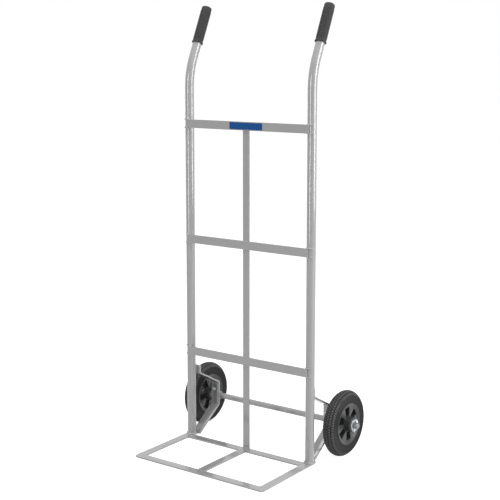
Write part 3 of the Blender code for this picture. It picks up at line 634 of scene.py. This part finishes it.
# Bright zinc is a pale metal with clear, slightly blurred reflections.
bright_zinc = make_steel(
    "bright_zinc_plated_steel", BRIGHT_ZINC_TINTS, ZINC_BLOOM_SIZE, BRIGHT_ZINC_ROUGH
)
low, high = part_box("clip_bolt_left")
bolt_length, bolt_z = high.y - low.y, (low.z + high.z) / 2
shank = [(0, 0), (BOLT_RADIUS - THREAD_DEPTH, 0)]
for i in range(int((bolt_length - BOLT_HEAD) / THREAD_PITCH)):
    shank.append((BOLT_RADIUS, (i + 0.5) * THREAD_PITCH))
    shank.append((BOLT_RADIUS - THREAD_DEPTH, (i + 1) * THREAD_PITCH))
shank += [(BOLT_RADIUS, bolt_length - BOLT_HEAD / 2), (0, bolt_length - BOLT_HEAD / 2)]
thread = turned_piece("thread", shank, THREAD_SIDES)
bolt = hexagon("bolt", BOLT_HEAD, 0)
bolt.location.z = bolt_length - BOLT_HEAD
bpy.ops.object.transform_apply(location=True, rotation=True, scale=True)
combine(bolt, thread, "UNION")
bolt.location, bolt.rotation_euler = (0, low.y, bolt_z), (-math.pi / 2, 0, 0)
fit_both(bolt, "bolt", bright_zinc, "clip_bolt", smooth=CRISP_ANGLE)
low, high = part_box("clip_nut_left")
nut = hexagon("nut", high.y - low.y, BOLT_RADIUS + SEAT_GAP)
nut.location, nut.rotation_euler = (0, low.y, bolt_z), (-math.pi / 2, 0, 0)
fit_both(nut, "nut", bright_zinc, "clip_nut", smooth=CRISP_ANGLE)

# A washer on each side of the hub keeps the plastic off the bracket and the split pin. They are plain
# stampings, zinc plated, with one edge rounded by the punch. The outer one shines at the middle of the wheel.
WASHER_EDGE = 0.0005
ROUND_SIDES = 64
AXLE_FIT = 0.0003
DULL_ZINC_TINTS = ("8d8f92", "b3b5b8")
DULL_ZINC_ROUGH = (0.28, 0.46)
TURNED_ANGLE = math.radians(35)  # the same limit, for round pieces


def wheel_place(word, x, turn=0.0):
    """Where a piece modelled round Z stands on the axle: its top faces out, turned so far round."""
    side = SIDES[word]
    facing = Matrix.Rotation(side * math.pi / 2, 4, "Y") @ Matrix.Rotation(turn, 4, "Z")
    return Matrix.Translation((side * x, AXLE_Y, AXLE_Z)) @ facing


# Zinc that has lost its first brightness is a middle grey, with the same cloudy shine.
dull_zinc = make_steel("dull_zinc_plated_steel", DULL_ZINC_TINTS, ZINC_BLOOM_SIZE, DULL_ZINC_ROUGH)
low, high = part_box("outer_washer_right")
half, rim, bore = (high.x - low.x) / 2, (high.z - low.z) / 2, AXLE_RADIUS + AXLE_FIT
washer = turned_piece("washer", [
    (bore, -half), (rim - WASHER_EDGE / 3, -half), (rim, WASHER_EDGE / 3 - half),
    *arc((rim - WASHER_EDGE, half - WASHER_EDGE), WASHER_EDGE, 0, 90, 3),
    (bore + WASHER_EDGE, half), (bore, half - WASHER_EDGE), (bore, -half),
], ROUND_SIDES)
for kind in ("inner", "outer"):
    low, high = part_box(f"{kind}_washer_right")
    for word in SIDES:
        copy = copy_of(washer, f"washer_{kind}_{word}", wheel_place(word, (low.x + high.x) / 2))
        seat(copy, dull_zinc, "frame", f"{kind}_washer_{word}", smooth=TURNED_ANGLE)
bpy.data.objects.remove(washer)

# Each rim is moulded in two halves of black polypropylene, with six windows between flat spokes. The halves
# meet in the middle of the wheel, clamp the tyre between their flanges and turn on a nylon bush.
WHEEL_X = 0.2600
WHEEL_TURN = {"left": math.radians(25), "right": math.radians(5)}
RIM_WIDTH = 0.0370
RIM_BED_RADIUS = 0.0560
RIM_FLANGE_RADIUS = 0.0620
RIM_FLANGE_THICKNESS = 0.0030
RIM_LIP = 0.0012
RIM_DISH_RADIUS = 0.0520
RIM_WEB = 0.0150
HUB_RADIUS = 0.0230
HUB_CHAMFER = 0.0015
HUB_ENDS = {"outer": 0.0360, "inner": 0.0299}
HUB_BORE = 0.0126
MOULD_ROUND = 0.0008
MOULD_FILLET = 0.0010
JOINT_HALF_GAP = 0.00015
WINDOWS = 6
WINDOW_OUTER = 0.0505
WINDOW_INNER = 0.0240
WINDOW_OUTER_WIDTH = 0.0255
WINDOW_INNER_WIDTH = 0.0165
WINDOW_CORNER = 0.0020
OUTER_STEPS = 8
INNER_STEPS = 2
RIM_SIDES = 96
LEVEL_GAP = 1e-5  # places closer than this are the same
PLASTIC_TINTS = ("343536", "3e3f40")
PLASTIC_ROUGH = 0.38
PLASTIC_SPECULAR = 0.36
PLASTIC_IOR = 1.49
PLASTIC_GRAIN_SIZE = 0.0009
PLASTIC_GRAIN_DEPTH = PLASTIC_GRAIN_SIZE / 15
PLASTIC_GRAIN_STRENGTH = 0.3
PLASTIC_FLOW_SIZE = 30 * PLASTIC_GRAIN_SIZE
NYLON_TINTS = ("cfccc0", "dcd9ce")
NYLON_ROUGH = 0.40
NYLON_SPECULAR = 0.4


def make_plastic(name, tints, rough, specular):
    """Moulded plastic: an even tone with a fine spark-eroded grain, and a soft sheen from the mould."""
    material, shader, place = new_material(name)
    _, tone = cloudy_tone(material, place, PLASTIC_FLOW_SIZE, tints)
    grain = add_node(material, "ShaderNodeTexNoise", {"Vector": place, "Scale": 1 / PLASTIC_GRAIN_SIZE})
    bump = add_node(material, "ShaderNodeBump", {
        "Height": grain.outputs["Fac"], "Strength": PLASTIC_GRAIN_STRENGTH, "Distance": PLASTIC_GRAIN_DEPTH,
    })
    wire(material, shader, {
        "Base Color": tone, "Normal": bump.outputs[0], "Roughness": rough, "IOR": PLASTIC_IOR,
        "Specular IOR Level": specular,
    })
    return material


def window_cutter(depth):
    """Six prisms between the spokes, each with rounded corners and arcs towards the hub and the tyre."""
    outer = math.degrees(math.asin(WINDOW_OUTER_WIDTH / 2 / WINDOW_OUTER))
    inner = math.degrees(math.asin(WINDOW_INNER_WIDTH / 2 / WINDOW_INNER))
    near = arc((0, 0), WINDOW_INNER, inner, -inner, INNER_STEPS)
    far = arc((0, 0), WINDOW_OUTER, -outer, outer, OUTER_STEPS)
    corners = [Vector(p) for p in (far[0], far[-1], near[0], near[-1])]
    cutter = drawn_line("windows", [(x, y, -depth) for x, y in far + near])
    bpy.ops.mesh.edge_face_add()
    choose(cutter, "verts", lambda v: any((v.co.xy - c).length < LEVEL_GAP for c in corners))
    bpy.ops.mesh.bevel(offset=WINDOW_CORNER, segments=4, affect="VERTICES")
    bpy.ops.mesh.select_all(action="SELECT")
    bpy.ops.mesh.extrude_region_move(TRANSFORM_OT_translate={"value": (0, 0, 2 * depth)})
    bpy.ops.mesh.select_all(action="SELECT")
    bpy.ops.mesh.spin(
        steps=WINDOWS - 1, angle=2 * math.pi * (WINDOWS - 1) / WINDOWS, dupli=True,
        center=(0, 0, 0), axis=(0, 0, 1),
    )
    bpy.ops.mesh.select_all(action="SELECT")
    bpy.ops.mesh.normals_make_consistent(inside=False)
    bpy.ops.object.mode_set(mode="OBJECT")
    return cutter


def rim_half(name, hub_end):
    """One half, with its outer face up: turned in one piece, pierced by the windows, its edges broken."""
    face = RIM_WIDTH / 2
    fillet = MOULD_FILLET
    profile = [
        (HUB_BORE, JOINT_HALF_GAP), (HUB_BORE, hub_end), (HUB_RADIUS - HUB_CHAMFER, hub_end),
        (HUB_RADIUS, hub_end - HUB_CHAMFER),
        *arc((HUB_RADIUS + fillet, RIM_WEB + fillet), fillet, 180, 270, 3),
        *arc((RIM_DISH_RADIUS - fillet, RIM_WEB + fillet), fillet, 270, 330, 3),
        *arc((RIM_FLANGE_RADIUS - MOULD_ROUND - RIM_LIP, face - MOULD_ROUND), MOULD_ROUND, 130, 90, 2),
        *arc((RIM_FLANGE_RADIUS - MOULD_ROUND, face - MOULD_ROUND), MOULD_ROUND, 90, 0, 3),
        (RIM_FLANGE_RADIUS, face - RIM_FLANGE_THICKNESS), (RIM_BED_RADIUS, face - RIM_FLANGE_THICKNESS),
        (RIM_BED_RADIUS, JOINT_HALF_GAP), (HUB_BORE, JOINT_HALF_GAP),
    ]
    piece = turned_piece(name, profile, RIM_SIDES)
    combine(piece, window_cutter(RIM_WIDTH), "DIFFERENCE")
    bpy.ops.object.mode_set(mode="EDIT")

    def on_window_edge(edge):
        level = all(abs(v.co.z - RIM_WEB) < LEVEL_GAP for v in edge.verts)
        flat = [abs(f.normal.z) > SQUARE_ON for f in edge.link_faces]
        return level and any(flat) and not all(flat)

    choose(piece, "edges", on_window_edge)
    bpy.ops.mesh.bevel(offset=MOULD_ROUND, segments=2, clamp_overlap=False)
    bpy.ops.object.mode_set(mode="OBJECT")
    return piece


# The polypropylene is black with a satin sheen, and the bush's nylon is a waxy off-white.
rim_plastic = make_plastic(
    "black_polypropylene_moulded", PLASTIC_TINTS, PLASTIC_ROUGH, PLASTIC_SPECULAR
)
nylon = make_plastic("natural_nylon_moulded", NYLON_TINTS, NYLON_ROUGH, NYLON_SPECULAR)
for kind, hub_end in HUB_ENDS.items():
    half = rim_half("rim_half", hub_end)
    if kind == "inner":
        half.rotation_euler = (math.pi, 0, 0)
    for word in SIDES:
        copy = copy_of(half, f"rim_{kind}_{word}", wheel_place(word, WHEEL_X, WHEEL_TURN[word]))
        seat(copy, rim_plastic, f"wheel_{word}", f"rim_{kind}_half_{word}", smooth=CRISP_ANGLE)
    bpy.data.objects.remove(half)
for word in SIDES:
    refinish("hub_bush_" + word, nylon)

# Six pan head screws hold the halves of each rim together, from the inboard side. They are zinc plated, with
# a domed head and a cross recess, and have gone grey.
SCREW_TINTS = ("4c4d4f", "6c6d70")
SCREW_ROUGH = (0.34, 0.5)
SCREW_HEAD_RADIUS = 0.00425
SCREW_HEAD_HEIGHT = 0.0030
SCREW_HEAD_EDGE = 0.0009
SCREW_DOME_RADIUS = 0.0060
SCREW_DOME_ANGLE = 36  # in degrees, from the middle to the head's edge
SCREW_SHANK_RADIUS = 0.0020
SCREW_REACH = 0.0065
SCREW_SIDES = 24
RECESS_LENGTH = 0.0046
RECESS_WIDTH = 0.0010
RECESS_DEPTH = 0.0018

# The head's top faces -Z, as the screw stands in the wheel. The shank runs up through the joint.
under = -RIM_WEB - SEAT_GAP
top = under - SCREW_HEAD_HEIGHT
screw = turned_piece("screw", [
    *arc((0, top + SCREW_DOME_RADIUS), SCREW_DOME_RADIUS, 270, 270 + SCREW_DOME_ANGLE, 4),
    (SCREW_HEAD_RADIUS, under - SCREW_HEAD_EDGE), (SCREW_HEAD_RADIUS, under),
    (SCREW_SHANK_RADIUS, under), (SCREW_SHANK_RADIUS, SCREW_REACH - SCREW_SHANK_RADIUS), (0, SCREW_REACH),
], SCREW_SIDES)
for angle in (0, math.pi / 2):
    bpy.ops.mesh.primitive_cube_add(size=1, location=(0, 0, top), rotation=(0, 0, angle))
    slot = bpy.context.object
    slot.scale = (RECESS_LENGTH, RECESS_WIDTH, 2 * RECESS_DEPTH)
    combine(screw, slot, "DIFFERENCE")

# Old zinc is a dark grey metal whose shine is almost gone. No two screws stop at the same angle.
grey_zinc = make_steel("grey_zinc_plated_steel", SCREW_TINTS, ZINC_BLOOM_SIZE, SCREW_ROUGH)
for word, side in SIDES.items():
    for number in range(1, WINDOWS + 1):
        low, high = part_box(f"rim_screw_{word}_{number}")
        place = wheel_place(word, WHEEL_X, WHEEL_TURN[word] + number)
        place.translation = (side * WHEEL_X, (low.y + high.y) / 2, (low.z + high.z) / 2)
        copy = copy_of(screw, f"screw_{word}_{number}", place)
        seat(copy, grey_zinc, f"wheel_{word}", f"rim_screw_{word}_{number}", smooth=TURNED_ANGLE)
bpy.data.objects.remove(screw)

# Each wheel has a solid tyre of black rubber, moulded with five rows of small blocks round its crown, a plain
# flat side wall and a raised ring at the edge of that wall. It is held between the two halves of the rim.
WHEEL_RADIUS = AXLE_Z
CROWN_RADIUS = 0.0210
CROWN_HALF_ANGLE = math.radians(66)
BLOCKS_ROUND = 76
STEPS_A_BLOCK = 4
BLOCK_ROWS = 5
GROOVE_PITCH = 0.0076
GROOVE_WIDTH = 0.0018
BLOCK_DEPTH = 0.0022
BLOCK_TAPER = 0.0004
TREAD_SHARE = 0.8  # of a block's depth, from its top, that takes the lighter tread grey: partly dust, partly a painted highlight
SHOULDER_HALF = 0.0167
SHOULDER_RADIUS = 0.0858
SIDE_RING_WIDTH = 0.0022
SIDE_RING_HEIGHT = 0.0011
BEAD_WIDTH = 0.0352
# the tread's lighter grey is partly dust and partly a painted highlight for the light on the crown
TREAD_DUST_AND_HIGHLIGHT_TINTS = ("464646", "5c5c5c")
TREAD_ROUGH = 0.78
WALL_TINTS = ("131314", "1b1b1c")
WALL_ROUGH = 0.55
RUBBER_SPECULAR = 0.14
RUBBER_IOR = 1.52
RUBBER_GRAIN_SIZE = 0.0012
RUBBER_BLOOM_SIZE = 20 * RUBBER_GRAIN_SIZE
RUBBER_GRAIN_DEPTH = RUBBER_GRAIN_SIZE / 12
RUBBER_GRAIN_STRENGTH = 0.4


def make_rubber(name, tints, rough):
    """Black moulded rubber with a dull skin: a fine grain, and a grey bloom that comes and goes."""
    material, shader, place = new_material(name)
    _, tone = cloudy_tone(material, place, RUBBER_BLOOM_SIZE, tints)
    grain = add_node(material, "ShaderNodeTexNoise", {"Vector": place, "Scale": 1 / RUBBER_GRAIN_SIZE})
    bump = add_node(material, "ShaderNodeBump", {
        "Height": grain.outputs["Fac"], "Strength": RUBBER_GRAIN_STRENGTH, "Distance": RUBBER_GRAIN_DEPTH,
    })
    wire(material, shader, {
        "Base Color": tone, "Normal": bump.outputs[0], "Roughness": rough, "IOR": RUBBER_IOR,
        "Specular IOR Level": RUBBER_SPECULAR,
    })
    return material


def tyre_profile():
    """The section, from bead to bead over the crown. The crown's points mark where the rows of blocks end."""
    centre = WHEEL_RADIUS - CROWN_RADIUS
    base = CROWN_RADIUS - BLOCK_DEPTH
    edge = centre + CROWN_RADIUS * math.cos(CROWN_HALF_ANGLE)
    wall = CROWN_RADIUS * math.sin(CROWN_HALF_ANGLE) - SIDE_RING_HEIGHT
    seat_half = RIM_WIDTH / 2 - RIM_FLANGE_THICKNESS - SEAT_GAP
    lip = RIM_FLANGE_RADIUS + SEAT_GAP
    side = [
        (RIM_BED_RADIUS + SEAT_GAP, seat_half),
        (lip, seat_half),
        (lip, BEAD_WIDTH / 2 - SIDE_RING_HEIGHT / 2),
        (lip + SIDE_RING_HEIGHT / 2, BEAD_WIDTH / 2),
        (edge - SIDE_RING_WIDTH - SIDE_RING_HEIGHT, wall),
        *arc((edge - SIDE_RING_WIDTH / 2, wall), SIDE_RING_HEIGHT, 160, 0, 5),
    ]
    crown = []
    reach = (GROOVE_PITCH - GROOVE_WIDTH) / 2
    for i in range(BLOCK_ROWS):
        middle = ((BLOCK_ROWS - 1) / 2 - i) * GROOVE_PITCH
        for z in (middle + reach, middle, middle - reach):
            z = max(-SHOULDER_HALF, min(SHOULDER_HALF, z))
            crown.append((centre + math.sqrt(base**2 - z**2), z))
    return side + crown + [(r, -z) for r, z in reversed(side)] + side[:1]


# The tread is a lighter, dusty dark grey: partly dust, and partly a painted highlight where light grazes the
# crown. The side walls stay black with a faint sheen.
tread_rubber_dust_and_highlight = make_rubber("black_tyre_rubber_tread_dust_and_painted_highlight", TREAD_DUST_AND_HIGHLIGHT_TINTS, TREAD_ROUGH)
wall_rubber = make_rubber("black_tyre_rubber_side_wall", WALL_TINTS, WALL_ROUGH)
tyre = turned_piece("tyre_rubber", tyre_profile(), BLOCKS_ROUND * STEPS_A_BLOCK)
bpy.ops.object.mode_set(mode="EDIT")


def on_block(face):
    """Whether a face is part of a block. Each row stands half a block further round than the last one."""
    at = face.calc_center_median()
    if math.hypot(at.x, at.y) < WHEEL_RADIUS - CROWN_RADIUS:
        return False
    row = at.z / GROOVE_PITCH + BLOCK_ROWS / 2
    in_row = abs(row % 1 - 0.5) * GROOVE_PITCH < (GROOVE_PITCH - GROOVE_WIDTH) / 2
    steps_round = math.atan2(at.y, at.x) / (2 * math.pi) * BLOCKS_ROUND * STEPS_A_BLOCK
    step = math.floor(steps_round) + STEPS_A_BLOCK // 2 * math.floor(row)
    return 0 < row < BLOCK_ROWS and in_row and step % STEPS_A_BLOCK != 0


choose(tyre, "faces", on_block)
bpy.ops.mesh.inset(thickness=BLOCK_TAPER, depth=BLOCK_DEPTH, use_even_offset=True)
bpy.ops.object.mode_set(mode="OBJECT")
tyre.data.materials.append(wall_rubber)
tyre.data.materials.append(tread_rubber_dust_and_highlight)
# The crown's faces, down to most of a block's depth, take the lighter tread rubber: partly dust, partly a
# painted highlight.
for face in tyre.data.polygons:
    out = math.hypot(face.center.x, face.center.y)
    on_crown = math.hypot(out - WHEEL_RADIUS + CROWN_RADIUS, face.center.z)
    face.material_index = int(out > SHOULDER_RADIUS and on_crown > CROWN_RADIUS - BLOCK_DEPTH * TREAD_SHARE)
for word in SIDES:
    copy = copy_of(tyre, "tyre_rubber_" + word, wheel_place(word, WHEEL_X))
    seat(copy, None, f"wheel_{word}", "tyre_" + word, smooth=CRISP_ANGLE)
bpy.data.objects.remove(tyre)

# A split pin keeps each wheel on: a wire of bright zinc-plated steel, folded over an open eye and pushed
# through the axle, with its two legs bent apart. The eye stands up and back.
PIN_WIRE_RADIUS = 0.0009
PIN_SIDES = 12
PIN_LEAN = math.radians(45)
PIN_LEG_OFFSET = 0.00105
PIN_REACH = 0.0022
PIN_EYE_RADIUS = 0.0036
PIN_NECK_ANGLE = math.radians(50)
PIN_NECK = 0.0022
PIN_LEG = 0.0100
PIN_LEG_BEND = math.radians(50)
PIN_BEND_RADIUS = 0.0018
PIN_SMOOTH_ANGLE = math.radians(50)  # above the 30 degrees between the wire's sides

# The wire is drawn from one leg's tip through the axle, round the eye and back to the other leg's tip.
out = Vector((0, math.cos(PIN_LEAN), math.sin(PIN_LEAN)))
across = Vector((0, math.sin(PIN_LEAN), -math.cos(PIN_LEAN)))
centre = Vector((0, AXLE_Y, AXLE_Z))
reach = AXLE_RADIUS + PIN_REACH
leg_axis = out * math.cos(PIN_LEG_BEND) - across * math.sin(PIN_LEG_BEND)
tip = centre - out * reach + across * PIN_LEG_OFFSET - leg_axis * PIN_LEG
heading = PIN_LEAN + PIN_LEG_BEND
eye = centre + out * (reach + PIN_NECK + PIN_EYE_RADIUS * math.sin(PIN_NECK_ANGLE))
eye_start = eye + (across * math.cos(PIN_NECK_ANGLE) - out * math.sin(PIN_NECK_ANGLE)) * PIN_EYE_RADIUS
neck = eye_start - (centre + out * reach + across * PIN_LEG_OFFSET)
trim = PIN_BEND_RADIUS * math.tan(PIN_LEG_BEND / 2)
bpy.ops.mesh.primitive_circle_add(
    vertices=PIN_SIDES, radius=PIN_WIRE_RADIUS, location=tip, rotation=(heading - math.pi / 2, 0, 0)
)
pin = begin("cotter")
here, _ = draw_out(tip, heading, [PIN_LEG - trim, (PIN_BEND_RADIUS, -PIN_LEG_BEND), 2 * reach - trim])
here, _ = draw_out(here, math.atan2(neck.z, neck.y), [neck.length])
here, _ = draw_out(here, PIN_LEAN, [(PIN_EYE_RADIUS, math.pi + 2 * PIN_NECK_ANGLE)])
back = centre + out * reach - across * PIN_LEG_OFFSET - here
here, _ = draw_out(here, math.atan2(back.z, back.y), [back.length])
draw_out(here, PIN_LEAN + math.pi, [2 * reach - trim, (PIN_BEND_RADIUS, -PIN_LEG_BEND), PIN_LEG - trim])
choose(pin, "edges", lambda e: len(e.link_faces) == 1)
bpy.ops.mesh.edge_face_add()
bpy.ops.mesh.select_all(action="SELECT")
bpy.ops.mesh.normals_make_consistent(inside=False)
fit_both(pin, "cotter", bright_zinc, "split_pin", smooth=PIN_SMOOTH_ANGLE)

# The grips are moulded sleeves of black soft PVC, pushed over the handles' ends. They have closed, rounded
# ends, fine rings round them for the hand and a rolled bead at the mouth.
GRIP_LENGTH = 0.1205
GRIP_RADIUS = 0.0154
GRIP_END = 0.0045
GRIP_END_ROUND = 0.0060
GRIP_RING_PITCH = 0.0043
GRIP_RING_HEIGHT = 0.0007
GRIP_RING_FOOT = GRIP_RING_PITCH * 0.30  # half of a ring's width at its foot, and at its top
GRIP_RING_TOP = GRIP_RING_PITCH * 0.12
GRIP_FIRST_RING = 0.0165
GRIP_RINGS = 22
GRIP_BEAD_RADIUS = 0.0031
GRIP_BEAD_OUT = 0.0142
GRIP_SIDES = 64
VINYL_TINTS = ("2e2e2f", "3a3a3b")
VINYL_ROUGH = 0.58
VINYL_SPECULAR = 0.2

# Soft PVC is a dull black that hardly shines.
vinyl = make_plastic("black_soft_pvc", VINYL_TINTS, VINYL_ROUGH, VINYL_SPECULAR)
ring_radius = GRIP_RADIUS + GRIP_RING_HEIGHT
profile = [(0, 0), *arc((GRIP_RADIUS - GRIP_END_ROUND, -GRIP_END_ROUND), GRIP_END_ROUND, 90, 0, 8)]
for i in range(GRIP_RINGS):
    z = -GRIP_FIRST_RING - i * GRIP_RING_PITCH
    profile += [
        (GRIP_RADIUS, z + GRIP_RING_FOOT), (ring_radius, z + GRIP_RING_TOP),
        (ring_radius, z - GRIP_RING_TOP), (GRIP_RADIUS, z - GRIP_RING_FOOT),
    ]
bead = (GRIP_BEAD_OUT, GRIP_BEAD_RADIUS - GRIP_LENGTH)
mouth = TUBE_DIAMETER / 2 + SEAT_GAP
profile += arc(bead, GRIP_BEAD_RADIUS, 66, -90, 8)
profile += [(mouth, -GRIP_LENGTH), (mouth, -GRIP_END), (0, -GRIP_END)]
ahead = Vector((0, math.cos(handle_heading), math.sin(handle_heading)))
grip_top = handle_end + ahead * (GRIP_END + SEAT_GAP)
grip = turned_piece("grip_sleeve", profile, GRIP_SIDES, grip_top, (handle_heading - math.pi / 2, 0, 0))
fit_both(grip, "grip_sleeve", vinyl, "grip", smooth=TURNED_ANGLE)

# A small plate of thin aluminium, covered with plain blue vinyl film, is stuck on the front of the top
# crossbar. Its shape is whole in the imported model.
FILM_TINTS = ("0a4480", "0f4d8c")
FILM_ROUGH = 0.42
FILM_SPECULAR = 0.15
FILM_RIPPLE_SIZE = 0.012
FILM_RIPPLE_DEPTH = FILM_RIPPLE_SIZE / 200
FILM_RIPPLE_STRENGTH = 0.3


def make_film():
    """Blue vinyl film on a thin plate: an even, deep blue with a soft sheen, a little wavy from the glue."""
    material, shader, place = new_material("blue_gloss_film")
    ripple, tone = cloudy_tone(material, place, FILM_RIPPLE_SIZE, FILM_TINTS)
    bump = add_node(material, "ShaderNodeBump", {
        "Height": ripple, "Strength": FILM_RIPPLE_STRENGTH, "Distance": FILM_RIPPLE_DEPTH,
    })
    wire(material, shader, {
        "Base Color": tone, "Normal": bump.outputs[0], "Roughness": FILM_ROUGH,
        "Specular IOR Level": FILM_SPECULAR,
    })
    return material


refinish("label_plate", make_film())

# The truck stands on a plain white studio floor that runs into a white surround. Large soft lamps hang to its
# right and overhead, and a tall, narrower one at the left front draws the thin streaks down the tubes.
FLOOR_SIZE = 40.0
FLOOR_GREY = "b4b4b4"
FLOOR_ROUGH = 0.9
FLOOR_GLOW = 0.89
SURROUND_FILL = 0.15
LAMP_AIM = (0, 0, 0.6)
LAMPS = (
    # Each lamp's name, place, width, height and power in watts.
    ("right_softbox", (3.4, 0.7, 1.6), 2.0, 2.8, 126),
    ("top_softbox", (0.0, -0.6, 3.6), 2.6, 2.6, 90),
    ("front_softbox", (-0.8, -4.2, 1.2), 1.1, 2.6, 70),
)


def seen_directly(owner):
    """1 where the camera looks, straight or by way of a shiny or clear piece, and 0 for all other light."""
    rays = add_node(owner, "ShaderNodeLightPath", {}).outputs
    shiny = add_node(
        owner, "ShaderNodeMath", {0: rays["Is Camera Ray"], 1: rays["Is Glossy Ray"]}, operation="MAXIMUM"
    )
    clear = add_node(
        owner, "ShaderNodeMath", {0: shiny.outputs[0], 1: rays["Is Transmission Ray"]}, operation="MAXIMUM"
    )
    return clear.outputs[0]


world = bpy.data.worlds.new("white_studio")
bpy.context.scene.world = world
world.use_nodes = True
fill = add_node(world, "ShaderNodeMapRange", {
    "Value": seen_directly(world), "To Min": SURROUND_FILL, "To Max": 1.0,
})
wire(world, world.node_tree.nodes["Background"], {"Color": linear("ffffff"), "Strength": fill.outputs[0]})

for name, place, width, height, power in LAMPS:
    bpy.ops.object.light_add(type="AREA", location=place)
    lamp = bpy.context.object
    lamp.name = name
    lamp.data.shape = "RECTANGLE"
    lamp.data.size = width
    lamp.data.size_y = height
    lamp.data.energy = power
    lamp.visible_camera = False
    lamp.rotation_euler = (Vector(LAMP_AIM) - Vector(place)).to_track_quat("-Z", "Y").to_euler()

bpy.ops.mesh.primitive_plane_add(size=FLOOR_SIZE)
floor = bpy.context.object
floor.name = "studio_floor"
floor_paint, floor_shader, _ = new_material("white_studio_floor")
glow = add_node(floor_paint, "ShaderNodeMapRange", {
    "Value": seen_directly(floor_paint), "To Min": 0.0, "To Max": FLOOR_GLOW,
})
wire(floor_paint, floor_shader, {
    "Base Color": linear(FLOOR_GREY), "Roughness": FLOOR_ROUGH,
    "Emission Color": linear("ffffff"), "Emission Strength": glow.outputs[0],
})
floor.data.materials.append(floor_paint)

view = bpy.context.scene.view_settings
view.view_transform = "Standard"
